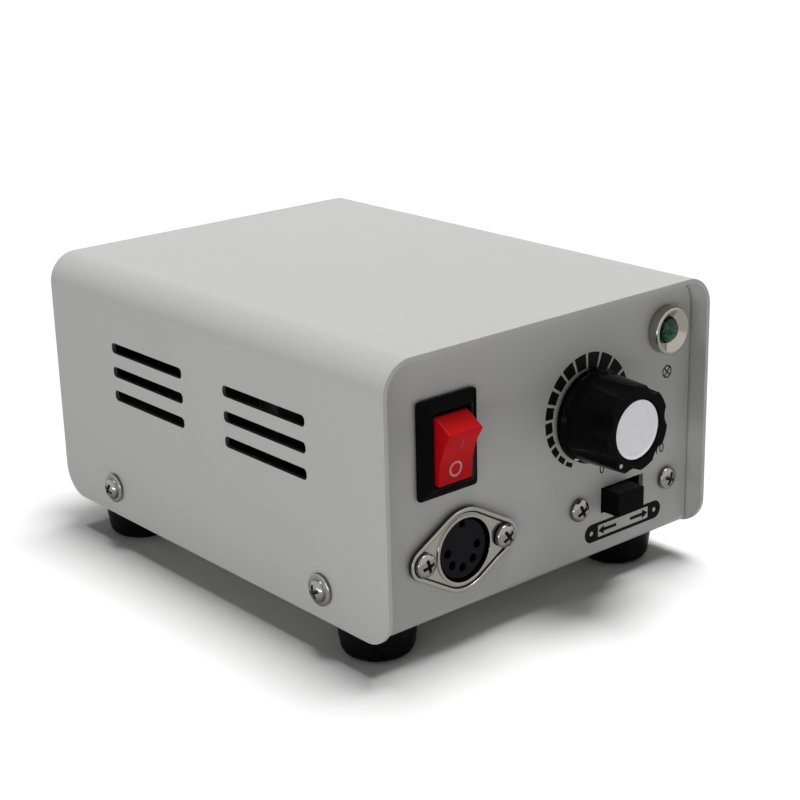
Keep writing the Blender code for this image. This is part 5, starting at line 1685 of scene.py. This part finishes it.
@dataclass(frozen=True)
class HandpieceSocket:
    """The round socket: an eared flange with a raised rim, a barrel, and the contact insert."""

    plate_radius: float = 0.0092
    ear_radius: float = 0.0036
    spacing: float = 0.0222
    seat: float = 0.0003
    stand: float = 0.0015
    rim_width: float = 0.0009
    rim_height: float = 0.0005
    bead: float = 0.00038
    mouth: float = 0.0070
    barrel: float = 0.0080
    barrel_depth: float = 0.0110
    hole: float = 0.0018
    edge: float = 0.00022
    lip_radius: float = 0.0076
    lip_height: float = 0.00035
    nose: float = 0.0064
    nose_edge: float = 0.0003
    base: float = 0.0067
    base_thickness: float = 0.0030
    face: float = 0.0005
    contacts: int = 5
    contact_step: float = radians(45)
    contact_circle: float = 0.0041
    contact_hole: float = 0.0010
    contact_bore: float = 0.0006
    contact_depth: float = 0.0055
    contact_sunk: float = 0.0024
    contact_play: float = 0.00008
    groove_width: float = 0.00035
    groove_depth: float = 0.00025
    key: Point = (0.0016, 0.0016)

    def build(self) -> None:
        """Makes the shell, the insert and its contact sleeves."""
        seat = seat_of("handpiece_socket_shell", Facing.FRONT, self.stand)
        shell = self.shell().seated(Facing.FRONT, seat)
        shell.fitted("socket_flange_and_barrel", NICKEL, "handpiece_socket_shell")
        insert = self.insert().seated(Facing.FRONT, seat)
        insert.fitted("socket_contact_insert", INSERT, "handpiece_socket_insert")
        self.sleeves().seated(Facing.FRONT, seat).fitted("socket_contact_sleeves", BRASS)

    def eared(self, inset: float, low: float, high: float) -> Workpiece:
        """The skin stretched over a disc and its two ears.

        Args:
            inset: How far its outline is drawn in.
            low: The height of its underside.
            high: The height of its face.

        Returns:
            The plate.
        """
        half = self.spacing / 2
        discs = ((self.plate_radius, 0.0), (self.ear_radius, -half), (self.ear_radius, half))
        drums = [
            Workpiece.rod(radius - inset, Vector((x, 0.0, low)), Vector((x, 0.0, high)), FINE_SIDES)
            for radius, x in discs
        ]
        plate = drums[0].gathered(*drums[1:])
        with plate.editing(Pick.FACES):
            bpy.ops.mesh.convex_hull()
            bpy.ops.mesh.select_all(action="SELECT")
            bpy.ops.mesh.dissolve_limited(angle_limit=FLAT_ANGLE)
        return plate.welded()

    def shell(self) -> Workpiece:
        """The flange with its dished face, on the barrel.

        Returns:
            The shell.
        """
        floor = self.stand - self.rim_height
        plate = self.eared(0.0, self.seat, self.stand)
        plate.cut(self.eared(self.rim_width, floor, self.stand + OVERRUN)).bevelled(self.bead)
        lip = [(self.lip_radius, floor - self.seat), (self.lip_radius, floor + self.lip_height)]
        back, front = up(-self.barrel_depth), up(floor - self.seat)
        plate.fused(Workpiece.rod(self.barrel, back, front, FINE_SIDES), Workpiece.turned(lip))
        bore = [back - up(OVERRUN), up(self.stand + OVERRUN)]
        plate.cut(Workpiece.rod(self.mouth, *bore, FINE_SIDES))
        for way in (-1, 1):
            aside = Vector((way * self.spacing / 2, 0.0, 0.0))
            plate.cut(Workpiece.rod(self.hole, aside - bore[1], aside + bore[1]))
        plate.bevelled(self.edge)
        bottom, inner = floor - self.groove_depth, self.rim_width + self.groove_width
        groove = self.eared(self.rim_width, bottom, floor + self.edge)
        plate.cut(groove.cut(self.eared(inner, bottom - OVERRUN, self.stand + OVERRUN)))
        # Faces between the flange's underside and just under its dished face get painted shade: chiefly
        # the groove inside the rim, also the flange's outer edge.
        shaded_below = floor - self.groove_depth / 8
        return plate.painted_shade(lambda middle, normal: self.seat < middle.z < shaded_below)

    def contact_places(self) -> list[Vector]:
        """The middle of each contact, spread over the lower half of their circle.

        Returns:
            The places.
        """
        first = -pi / 2 - self.contact_step * (self.contacts - 1) / 2
        turns = [first + self.contact_step * k for k in range(self.contacts)]
        return [Vector((cos(a), sin(a), 0.0)) * self.contact_circle for a in turns]

    def insert(self) -> Workpiece:
        """The black insert with its contact holes and its key groove.

        Returns:
            The insert.
        """
        back = -self.barrel_depth
        step = back + self.base_thickness
        profile = [(self.base, back), (self.base, step), (self.nose, step), (self.nose, self.face)]
        piece = Workpiece.turned(profile).bevelled(self.nose_edge)
        floor, top = up(self.face - self.contact_depth), up(self.face + OVERRUN)
        for place in self.contact_places():
            hole = Workpiece.rod(self.contact_hole, place + floor, place + top, SMALL_SIDES // 2)
            piece.cut(hole)
        half = Vector((self.key[0] / 2, 0.0, 0.0))
        low = Vector((0.0, self.nose - self.key[1], step)) - half
        high = Vector((0.0, self.nose + OVERRUN, self.face + OVERRUN)) + half
        return piece.cut(Workpiece.block(low, high))

    def sleeves(self) -> Workpiece:
        """The metal sleeves in the contact holes.

        Returns:
            The sleeves, as one piece.
        """
        outside = self.contact_hole - self.contact_play
        low = self.face - self.contact_depth + self.contact_play
        high = self.face - self.contact_sunk
        bore = self.contact_bore
        loop = [(bore, low), (outside, low), (outside, high), (bore, high)]
        made = [
            Workpiece.ring(loop, SMALL_SIDES // 2).moved(place) for place in self.contact_places()
        ]
        return made[0].gathered(*made[1:])


@dataclass(frozen=True)
class SpeedKnob:
    """The fluted knob with its disc and its two white dots."""

    stand: float = 0.0143
    lift: float = 0.0008
    skirt: float = 0.0105
    skirt_height: float = 0.0012
    neck: float = 0.0100
    neck_height: float = 0.0030
    face: float = 0.0096
    face_round: float = 0.0004
    hollow: float = 0.0072
    hollow_depth: float = 0.0045
    bore: float = 0.0033
    bore_depth: float = 0.0110
    disc: float = 0.0065
    disc_gap: float = 0.0003
    disc_front: float = 0.0141
    disc_back: float = 0.0133
    disc_rim: float = 0.0004
    disc_dish: float = 0.00012
    flutes: int = 7
    flute_turn: float = radians(-122)
    flute_radius: float = 0.0042
    flute_depth: float = 0.0012
    flute_edge: float = 0.0005
    flute_edge_angle: float = radians(20)
    cutter_overrun: float = 0.25
    pointer: float = radians(-127)
    face_dot: float = 0.0085
    dot: float = 0.00048
    dot_height: float = 0.00005

    def build(self) -> None:
        """Makes the knob, its disc and its dots."""
        seat = seat_of("speed_knob", Facing.FRONT, self.stand + self.dot_height)
        self.knob().seated(Facing.FRONT, seat).fitted("fluted_knob", BLACK, "speed_knob", body=Body.KNOB)
        self.foil().seated(Facing.FRONT, seat).fitted("knob_disc", FOIL, "speed_knob_cap", body=Body.KNOB)
        self.dots().seated(Facing.FRONT, seat).fitted("knob_pointer_dots", WHITE_INK, body=Body.KNOB)

    def knob(self) -> Workpiece:
        """Turns the knob and mills its flutes, which deepen towards its face.

        Returns:
            The knob.
        """
        pocket, floor = self.disc + self.disc_gap, self.disc_back - self.disc_gap
        profile = [
            (self.bore, self.bore_depth), (self.bore, self.hollow_depth),
            (self.hollow, self.hollow_depth), (self.hollow, self.lift), (self.skirt, self.lift),
            (self.skirt, self.skirt_height + self.lift), (self.neck, self.neck_height),
            (self.face, self.stand - self.face_round), (self.face - self.face_round, self.stand),
            (pocket, self.stand), (pocket, floor),
        ]
        piece = Workpiece.turned(profile, 2 * FINE_SIDES)
        for k in range(self.flutes):
            piece.cut(self.cutter(2 * pi * (k + 0.5) / self.flutes + self.flute_turn))
        return piece.bevelled(self.flute_edge, 3, self.flute_edge_angle)

    def cutter(self, turn: float) -> Workpiece:
        """A round bar that leans inward towards the knob's face.

        Args:
            turn: Its turn about the knob's axis.

        Returns:
            The cutter.
        """
        rear = Vector((self.neck + self.flute_radius, 0.0, self.neck_height))
        front = Vector((self.face - self.flute_depth + self.flute_radius, 0.0, self.stand))
        way = front - rear
        return Workpiece.rod(self.flute_radius, rear, front + way * self.cutter_overrun).spun(turn)

    def foil(self) -> Workpiece:
        """The disc, slightly dished inside a thin rim.

        Returns:
            The disc.
        """
        front, dish = self.disc_front, self.disc_front - self.disc_dish
        inner = self.disc - self.disc_rim
        profile = [(self.disc, self.disc_back), (self.disc, front), (inner, front)]
        profile += [(inner - self.disc_dish, dish), (inner / 2, dish)]
        return Workpiece.turned(profile).bevelled(self.disc_dish / 2, 2)

    def dots(self) -> Workpiece:
        """A dot near the edge of the face and one on the skirt's slope, at the same turn.

        Returns:
            Both dots, as one piece.
        """
        on_face = self.dot_on(self.face_dot, self.stand, (0.0, 1.0))
        slope = self.neck_height - self.lift - self.skirt_height
        middle = (self.skirt + self.neck) / 2
        on_skirt = self.dot_on(middle, self.neck_height - slope / 2, (slope, self.skirt - self.neck))
        return on_face.gathered(on_skirt)

    def dot_on(self, radius: float, height: float, normal: Point) -> Workpiece:
        """A short round bar that stands square on a slope of the knob.

        Args:
            radius: How far the dot is from the knob's axis.
            height: How high it is.
            normal: The slope's normal, outwards and upwards.

        Returns:
            The dot.
        """
        way = Vector((cos(self.pointer), sin(self.pointer), 0.0))
        out = (way * normal[0] + up(normal[1])).normalized()
        middle = way * radius + up(height)
        return Workpiece.rod(self.dot, middle - out * self.dot, middle + out * self.dot_height)


@dataclass(frozen=True)
class PilotLamp:
    """The lamp: a dished metal bezel and a domed green lens."""

    stand: float = 0.0028
    seat: float = 0.0003
    body: float = 0.0042
    body_depth: float = 0.0110
    collar: float = 0.0054
    crest_width: float = 0.0004
    crest_drop: float = 0.0003
    dish_depth: float = 0.0014
    bore: float = 0.0027
    lens_gap: float = 0.0001
    lens_foot: float = -0.0064
    lens_shoulder: float = 0.0014
    lens_tip: float = 0.0030
    edge: float = 0.00018

    def build(self) -> None:
        """Turns the bezel and the lens."""
        seat = seat_of("pilot_lamp_bezel", Facing.FRONT, self.stand)
        crest = self.collar - self.crest_drop
        floor = self.lens_foot - self.lens_gap
        profile = [
            (self.body, -self.body_depth), (self.body, self.seat), (self.collar, self.seat),
            (self.collar, self.stand - self.crest_drop), (crest, self.stand),
            (crest - self.crest_width, self.stand), (self.bore, self.stand - self.dish_depth),
            (self.bore, floor),
        ]
        bezel = Workpiece.turned(profile).bevelled(self.edge).seated(Facing.FRONT, seat)
        bezel.fitted("lamp_bezel", NICKEL, "pilot_lamp_bezel")
        radius = self.bore - self.lens_gap
        bulge = dome(radius, self.lens_shoulder, self.lens_tip, radius / 16)
        lens = Workpiece.turned([(radius, self.lens_foot), *bulge]).seated(Facing.FRONT, seat)
        lens.fitted("lamp_lens", LENS, "pilot_lamp_lens")


@dataclass(frozen=True)
class PanelPrint:
    """What is printed on the front panel, from the cover's lower edge up: all of it generic."""

    low: float = 0.00001
    high: float = 0.00004
    scale_middle: Point = (0.0133, 0.0354)
    scale_outer: float = 0.01290
    scale_first: float = 0.0010
    scale_growth: float = 0.00026
    scale_start: float = radians(260)
    scale_step: float = radians(12.2)
    scale_step_growth: float = radians(0.65)
    scale_marks: int = 18
    scale_gap: float = 0.00060
    numeral_size: float = 0.0032
    numeral_places: tuple[Point, Point] = ((0.0180, 0.0206), (0.0368, 0.0205))
    sign_middle: Point = (0.0388, 0.0384)
    sign_ring: Point = (0.00120, 0.00150)
    capsule_middle: Point = (0.0252, 0.0061)
    capsule_size: Point = (0.0248, 0.0043)
    field_size: Point = (0.0164, 0.0028)
    field_corner: float = 0.0002
    dot: float = 0.00055
    dot_reach: float = 0.0103
    arrow_length: float = 0.0046
    arrow_head: float = 0.0012
    arrow_line: float = 0.00075
    arrow_reach: float = 0.0046

    def build(self) -> None:
        """Prints each mark on the panel."""
        self.put("dial_scale", self.scale(), self.scale_middle)
        for text, at in zip(("0", "10"), self.numeral_places):
            numeral = Workpiece.numeral(text, self.numeral_size, self.low, self.high)
            self.put(f"dial_number_{text}", numeral, at)
        self.put("lamp_sign", self.lamp_sign(), self.sign_middle)
        self.put("direction_capsule", self.capsule(), self.capsule_middle)
        for side, turn in (("left", pi), ("right", 0.0)):
            self.put(f"direction_arrow_{side}", self.arrow().spun(turn), self.capsule_middle)

    def put(self, name: str, piece: Workpiece, at: Point) -> None:
        """Sets a mark on the panel in black ink."""
        seat = Vector((at[0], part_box("chassis")[0].y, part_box("cover")[0].z + at[1]))
        piece.seated(Facing.FRONT, seat).fitted(name, BLACK_INK)

    def scale(self) -> Workpiece:
        """Marks that grow inwards, clockwise round the knob, with a small gap between them.

        Returns:
            The marks, as one piece.
        """
        made, start = [], self.scale_start
        for k in range(self.scale_marks):
            inner = self.scale_outer - self.scale_first - self.scale_growth * k
            step = self.scale_step + self.scale_step_growth * k
            start -= step
            sweep = step - self.scale_gap / self.scale_outer
            radii = (inner, self.scale_outer)
            made.append(Workpiece.sector(radii, start, sweep, self.low, self.high))
        return made[0].gathered(*made[1:])

    def lamp_sign(self) -> Workpiece:
        """The plain sign for a lamp: a cross in a ring.

        Returns:
            The sign.
        """
        inner, outer = self.sign_ring
        loop = [(inner, self.low), (outer, self.low), (outer, self.high), (inner, self.high)]
        size = (inner + outer, outer - inner)
        bars = [
            Workpiece.plate(size, 0.0, self.low, self.high).spun(turn) for turn in (pi / 4, -pi / 4)
        ]
        return Workpiece.ring(loop, SMALL_SIDES).fused(*bars)

    def capsule(self) -> Workpiece:
        """A black capsule with a bare field and a bare dot in each end.

        Returns:
            The capsule.
        """
        bare_low, bare_high = self.low - self.high, 2 * self.high
        radius = self.capsule_size[1] / 2
        piece = Workpiece.plate(self.capsule_size, radius, self.low, self.high)
        piece.cut(Workpiece.plate(self.field_size, self.field_corner, bare_low, bare_high))
        for way in (-1, 1):
            start, end = (Vector((way * self.dot_reach, 0.0, z)) for z in (bare_low, bare_high))
            piece.cut(Workpiece.rod(self.dot, start, end))
        return piece

    def arrow(self) -> Workpiece:
        """An arrow that points to the right, in the right half of the field.

        Returns:
            The arrow.
        """
        head = Workpiece.turned([(self.arrow_head, self.low), (self.arrow_head, self.high)], 3)
        head.spun(-pi / 2, Vector((self.arrow_reach + self.arrow_length / 2, 0.0, 0.0)))
        size = (self.arrow_length, self.arrow_line)
        return head.fused(Workpiece.plate(size, 0.0, self.low, self.high, (self.arrow_reach, 0.0)))


@dataclass(frozen=True)
class SlideSwitch:
    """The direction switch's black slider on its shoe."""

    stand: float = 0.0050
    size: Point = (0.0084, 0.0054)
    shoe_thickness: float = 0.0016
    corner: float = 0.0004
    edge: float = 0.00035

    def build(self) -> None:
        """Makes the slider."""
        low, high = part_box("direction_slider")
        seat = seat_of("direction_slider", Facing.FRONT, self.stand)
        shoe_low = seat.y - high.y
        stem = Workpiece.plate(self.size, self.corner, shoe_low, self.stand).bevelled(self.edge)
        shoe_size, shoe_top = (high.x - low.x, high.z - low.z), shoe_low + self.shoe_thickness
        stem.fused(Workpiece.plate(shoe_size, self.corner, shoe_low, shoe_top))
        slider = stem.seated(Facing.FRONT, seat)
        slider.fitted("black_slider", BLACK, "direction_slider", body=Body.SLIDER)


@dataclass(frozen=True)
class FuseHolder:
    """The fuse holder through the rear panel, with its knurled bayonet cap."""

    stand: float = 0.0160
    body: float = 0.0060
    bore: float = 0.0048
    floor: float = 0.0018
    seat: float = 0.0003
    collar: float = 0.0074
    collar_stand: float = 0.0030
    cap: float = 0.0058
    taper: float = 0.0032
    carrier: float = 0.0043
    carrier_depth: float = 0.0060
    fuse: float = 0.0029
    fuse_stand: float = 0.0056
    slot: Point = (0.0012, 0.0010)
    ribs: int = 24
    rib: float = 0.00035
    edge: float = 0.0002

    def build(self) -> None:
        """Makes the holder and the cap."""
        seat = seat_of("fuse_cap", Facing.REAR, self.stand)
        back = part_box("fuse_holder")[0].y - seat.y
        profile = [
            (self.body, back), (self.body, self.seat), (self.collar, self.seat),
            (self.collar, self.collar_stand / 2), (self.body, self.collar_stand),
            (self.bore, self.collar_stand), (self.bore, back + self.floor),
        ]
        holder = Workpiece.turned(profile).bevelled(self.edge).seated(Facing.REAR, seat)
        holder.fitted("fuse_holder_body", SATIN_BLACK, "fuse_holder")
        cap = self.bayonet_cap().seated(Facing.REAR, seat)
        cap.fitted("fuse_bayonet_cap", BLACK, "fuse_cap", body=Body.FUSE_CARRIER)

    def bayonet_cap(self) -> Workpiece:
        """The cap: its carrier, its ribbed grip, its taper and the slot across its face.

        Returns:
            The cap.
        """
        start = self.collar_stand + self.seat
        shoulder = self.stand - self.taper
        profile = [
            (self.fuse, self.fuse_stand), (self.fuse, -self.carrier_depth),
            (self.carrier, -self.carrier_depth), (self.carrier, start), (self.cap, start),
            (self.cap, shoulder), (self.cap - self.slot[1], self.stand),
        ]
        piece = Workpiece.turned(profile)
        for k in range(self.ribs):
            turn = 2 * pi * k / self.ribs
            way = Vector((cos(turn), sin(turn), 0.0)) * (self.cap + self.rib / 2)
            low, high = up(start + self.rib), up(shoulder)
            piece.cut(Workpiece.rod(self.rib, way + low, way + high, SMALL_SIDES // 3))
        piece.bevelled(self.edge / 2, 2)
        half = Vector((self.cap + OVERRUN, self.slot[0] / 2, 0.0))
        floor, top = up(self.stand - self.slot[1]), up(self.stand + OVERRUN)
        return piece.cut(Workpiece.block(floor - half, top + half))


@dataclass(frozen=True)
class CordGland:
    """The empty gland: a collar, a nose with strain-relief rings, and a barb behind the panel."""

    stand: float = 0.0080
    bore: float = 0.0036
    seat: float = 0.0003
    behind: float = 0.0015
    barb_length: float = 0.0040
    barb_tip: float = 0.0059
    barb: float = 0.0068
    body: float = 0.0062
    collar: float = 0.0080
    collar_stand: float = 0.0025
    nose: float = 0.0058
    rings: int = 3
    ring_pitch: float = 0.0015
    ring_depth: float = 0.0004
    edge: float = 0.00025

    def build(self) -> None:
        """Makes the gland."""
        seat = seat_of("cord_gland", Facing.REAR, self.stand)
        loop = [
            (self.bore, -self.behind - self.barb_length),
            (self.barb_tip, -self.behind - self.barb_length), (self.barb, -self.behind),
            (self.body, -self.behind), (self.body, self.seat), (self.collar, self.seat),
            (self.collar, self.collar_stand), (self.nose, self.collar_stand),
        ]
        for k in range(self.rings):
            low = self.collar_stand + self.ring_pitch * (k + 0.5)
            high = low + self.ring_pitch / 2
            groove = self.nose - self.ring_depth
            loop += [(self.nose, low), (groove, low), (groove, high), (self.nose, high)]
        loop += [(self.nose, self.stand), (self.bore, self.stand)]
        piece = Workpiece.ring(loop).bevelled(self.edge / 2, 2)
        piece.seated(Facing.REAR, seat).fitted("gland_body", SATIN_BLACK, "cord_gland")


@dataclass(frozen=True)
class PedalSocket:
    """The foot pedal's jack socket: a barrel, a threaded bush and its bore."""

    stand: float = 0.0042
    behind: float = 0.0015
    barrel: float = 0.0070
    bush: float = 0.0048
    bore: float = 0.0033
    bore_depth: float = 0.0130
    threads: int = 5
    thread_pitch: float = 0.0005
    thread_depth: float = 0.0002
    thread_low: float = 0.0012
    edge: float = 0.00012
    edge_angle: float = radians(60)

    def build(self) -> None:
        """Makes the socket."""
        seat = seat_of("pedal_socket", Facing.REAR, self.stand)
        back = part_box("pedal_socket")[0].y - seat.y
        root = self.bush - self.thread_depth
        profile = [(self.barrel, back), (self.barrel, -self.behind), (self.bush, -self.behind)]
        for k in range(self.threads):
            low = self.thread_low + self.thread_pitch * k
            profile += [(self.bush, low), (root, low + self.thread_pitch / 2)]
        profile += [
            (self.bush, self.thread_low + self.thread_pitch * self.threads),
            (self.bush, self.stand), (self.bore, self.stand),
            (self.bore, self.stand - self.bore_depth),
        ]
        piece = Workpiece.turned(profile).bevelled(self.edge, 1, self.edge_angle)
        piece.seated(Facing.REAR, seat).fitted("pedal_jack", SATIN_BLACK, "pedal_socket")


@dataclass(frozen=True)
class ControlBox:
    """The whole object, sub-assembly by sub-assembly."""

    cover_screw: Screw = Screw(head=0.00252, height=0.0021, rim=0.0006, washer=0.0035, length=0.0055)
    cover_turns: tuple[float, ...] = (0.35, 1.1, 0.7, 0.1)
    panel_screw: Screw = Screw(length=0.0080)
    panel_turns: tuple[float, ...] = (0.25, 0.6, 0.45, 1.2)
    strap_screw: Screw = Screw(length=0.0055)
    strap_turns: tuple[float, ...] = (0.5, 0.9)
    foot_screw: Screw = Screw(length=0.0093)
    foot_turns: tuple[float, ...] = (0.2, 0.8, 1.3, 0.5)
    handpiece_nut: Nut = Nut(flats=0.0055, height=0.0020, bore=0.0016)
    pot_nut: Nut = Nut(flats=0.0100, height=0.0018, bore=0.0037)
    lamp_nut: Nut = Nut(flats=0.0120, height=0.0020, bore=0.0043)
    pedal_nut: Nut = Nut(flats=0.0130, height=0.0022, bore=0.0049)
    broad_edge: float = 0.0003
    coil_edge: float = 0.0010
    sleeve_blue: Colour = (0.012, 0.018, 0.05)
    sleeve_roughness: float = 0.30
    glass_tint: Colour = (0.75, 0.80, 0.80)
    glass_roughness: float = 0.08

    def build(self) -> None:
        """Builds everything."""
        chassis = Softened("chassis", CHASSIS_PAINT)
        front = (PowerSwitch(), HandpieceSocket(), SpeedKnob(), PilotLamp(), PanelPrint(), SlideSwitch())
        rear = (FuseHolder(), CordGland(), PedalSocket())
        for part in (Cover(), chassis, Feet(), *front, *rear):
            part.build()
        self.set_screws()
        self.set_nuts()
        self.finish_inside()

    def set_screws(self) -> None:
        """Sets every screw, each one's cross at its own angle."""
        cover = {
            f"cover_screw_{row}_{side}": facing
            for side, facing in zip(SIDES, (Facing.LEFT, Facing.RIGHT))
            for row in ROWS
        }
        panel = {
            f"{part}_screw_{side}": Facing.FRONT
            for part in ("handpiece_socket", "direction_switch")
            for side in SIDES
        }
        strap = {f"transformer_screw_{side}": Facing.UP for side in SIDES}
        feet = {f"foot_screw_{corner}": Facing.DOWN for corner in CORNERS}
        self.cover_screw.set_in(cover, self.cover_turns, ZINC)
        self.panel_screw.set_in(panel, self.panel_turns, ZINC)
        self.strap_screw.set_in(strap, self.strap_turns, ZINC)
        self.foot_screw.set_in(feet, self.foot_turns, ZINC)

    def set_nuts(self) -> None:
        """Sets the hexagon nuts and softens the round one."""
        for side in SIDES:
            self.handpiece_nut.set_on(f"handpiece_socket_nut_{side}", Facing.FRONT, ZINC)
        self.pot_nut.set_on("speed_pot_nut", Facing.FRONT, ZINC)
        self.lamp_nut.set_on("pilot_lamp_nut", Facing.FRONT, NICKEL)
        self.pedal_nut.set_on("pedal_socket_nut", Facing.REAR, ZINC)
        Softened("fuse_holder_nut", SATIN_BLACK, self.broad_edge).build()

    def finish_inside(self) -> None:
        """Breaks the edges of the pieces inside the box and dresses them."""
        sleeve = PrintedSleeve(
            "capacitor_sleeve",
            self.sleeve_blue,
            self.sleeve_roughness,
            "capacitor_sleeve",
            centre=tuple(middle_of("smoothing_capacitor")),
        )
        glass = FuseGlass(
            "fuse_glass",
            self.glass_tint,
            self.glass_roughness,
            "fuse_glass",
            centre=tuple(middle_of("fuse_tube")),
        )
        pieces = [
            Softened("power_switch_terminal_upper", BRASS),
            Softened("power_switch_terminal_lower", BRASS),
            Softened("direction_switch_body", SHADED_TINPLATE),
            Softened("speed_pot_body", NICKEL),
            Softened("speed_pot_shaft", ALUMINIUM, body=Body.KNOB),
            Softened("transformer_core", IRON),
            Softened("transformer_coil", TAPE, self.coil_edge),
            Softened("transformer_strap", ZINC),
            Softened("circuit_board", MASK),
            *[Softened(f"board_post_{corner}", NYLON) for corner in CORNERS],
            Softened("smoothing_capacitor", sleeve, self.broad_edge),
            Softened("bridge_rectifier", SATIN_BLACK, self.broad_edge),
            Softened("power_transistor", SATIN_BLACK),
            Softened("heat_sink", ALUMINIUM),
            Softened("fuse_tube", glass, body=Body.FUSE_CARRIER),
        ]
        for piece in pieces:
            piece.build()


@dataclass(frozen=True)
class Studio:
    """The camera, the lights, the white floor and the world round the object."""

    eye: Triple = (-0.2460, -0.3029, 0.1660)
    yaw: float = radians(40.17)
    pitch: float = radians(18.60)
    roll: float = radians(-1.44)
    lens: float = 78.43
    sensor: float = 36.0
    clip: Point = (0.01, 50.0)
    floor_size: float = 12.0
    floor_bounce: float = 0.75
    world_fill: float = 0.05
    floor_shade: float = 1.25
    sun_strength: float = 2.5
    sun_angle: float = radians(30)
    sun_from: Triple = (0.17, 0.0, 1.0)
    fill_strength: float = 0.39
    fill_size: Point = (0.40, 0.06)
    fill_from: Triple = (-0.42, -0.13, 0.04)
    key_strength: float = 0.04
    key_size: Point = (0.06, 0.06)
    key_from: Triple = (-0.45, -0.60, 0.75)

    def build(self) -> None:
        """Sets up the studio."""
        self.place_camera()
        self.light_world()
        self.lay_floor()
        self.hang_lights()

    def place_camera(self) -> None:
        """Puts the camera where the photograph was taken from."""
        yaw, pitch, roll = self.yaw, self.pitch, self.roll
        ahead = Vector((sin(yaw) * cos(pitch), cos(yaw) * cos(pitch), -sin(pitch)))
        level = Vector((cos(yaw), -sin(yaw), 0.0))
        upright = level.cross(ahead)
        right = level * cos(roll) + upright * sin(roll)
        up = upright * cos(roll) - level * sin(roll)
        data = bpy.data.cameras.new("photo_camera")
        data.lens, data.sensor_width = self.lens, self.sensor
        data.clip_start, data.clip_end = self.clip
        camera = bpy.data.objects.new("photo_camera", data)
        turn = Matrix((right, up, -ahead)).transposed()
        camera.matrix_world = Matrix.Translation(self.eye) @ turn.to_4x4()
        bpy.context.scene.collection.objects.link(camera)
        bpy.context.scene.camera = camera

    @staticmethod
    def rays(graph: ShaderGraph, *kinds: str) -> Signal:
        """1 for a ray of one of those kinds, and 0 for the others.

        Args:
            graph: The nodes of the floor or of the world.
            kinds: The names of the kinds.

        Returns:
            The mask.
        """
        path = graph.node("ShaderNodeLightPath", {}, {})
        signals = [Signal(graph, path.outputs[f"Is {kind} Ray"]) for kind in kinds]
        return sum(signals[1:], signals[0])

    def light_world(self) -> None:
        """A white world, dimmer where it lights matt surfaces."""
        world = bpy.data.worlds.new("white_studio")
        bpy.context.scene.world = world
        graph = ShaderGraph(world, "Background")
        seen = self.rays(graph, "Camera", "Glossy", "Transmission").rise(0.0, 1.0)
        strength = self.world_fill + seen * (1.0 - self.world_fill)
        graph.surface(Color=WHITE, Strength=strength)

    def lay_floor(self) -> None:
        """A matt floor that the camera sees as white where the light falls on it."""
        bpy.ops.mesh.primitive_plane_add(size=self.floor_size)
        floor = bpy.context.active_object
        floor.name = "studio_floor"
        material = bpy.data.materials.new("studio_floor")
        graph = ShaderGraph(material, "Principled BSDF")
        bounce, shade = scaled(WHITE, self.floor_bounce), scaled(WHITE, self.floor_shade)
        colour = graph.mix(self.rays(graph, "Camera"), bounce, shade)
        graph.surface(Base_Color=colour, Roughness=1.0, Specular_IOR_Level=0.0)
        floor.data.materials.append(material)

    def hang_lights(self) -> None:
        """A broad sun from above, a low soft box at the left, and a small one in front."""
        sun = self.lamp("SUN", "sky_light", self.sun_from, self.sun_strength)
        sun.angle = self.sun_angle
        fill = self.lamp("AREA", "left_fill", self.fill_from, self.fill_strength)
        key = self.lamp("AREA", "front_soft_box", self.key_from, self.key_strength)
        for light, size in ((fill, self.fill_size), (key, self.key_size)):
            light.shape = "RECTANGLE"
            light.size, light.size_y = size

    def lamp(self, kind: str, name: str, place: Triple, strength: float) -> bpy.types.Light:
        """Hangs a light that points at the object, and returns its data.

        Args:
            kind: The light's type.
            name: Its name.
            place: Where it hangs.
            strength: Its power, or a sun's strength.

        Returns:
            The light's data.
        """
        data = bpy.data.lights.new(name, kind)
        data.energy = strength
        lamp = bpy.data.objects.new(name, data)
        lamp.location = place
        lamp.rotation_euler = Vector(place).to_track_quat("Z", "Y").to_euler()
        bpy.context.scene.collection.objects.link(lamp)
        return data


def main() -> None:
    """Builds the object and its studio."""
    logging.basicConfig(level=logging.INFO, format="%(message)s")
    ControlBox().build()
    Studio().build()
    bpy.context.scene.view_settings.view_transform = "Standard"


if __name__ == "__main__":
    main()
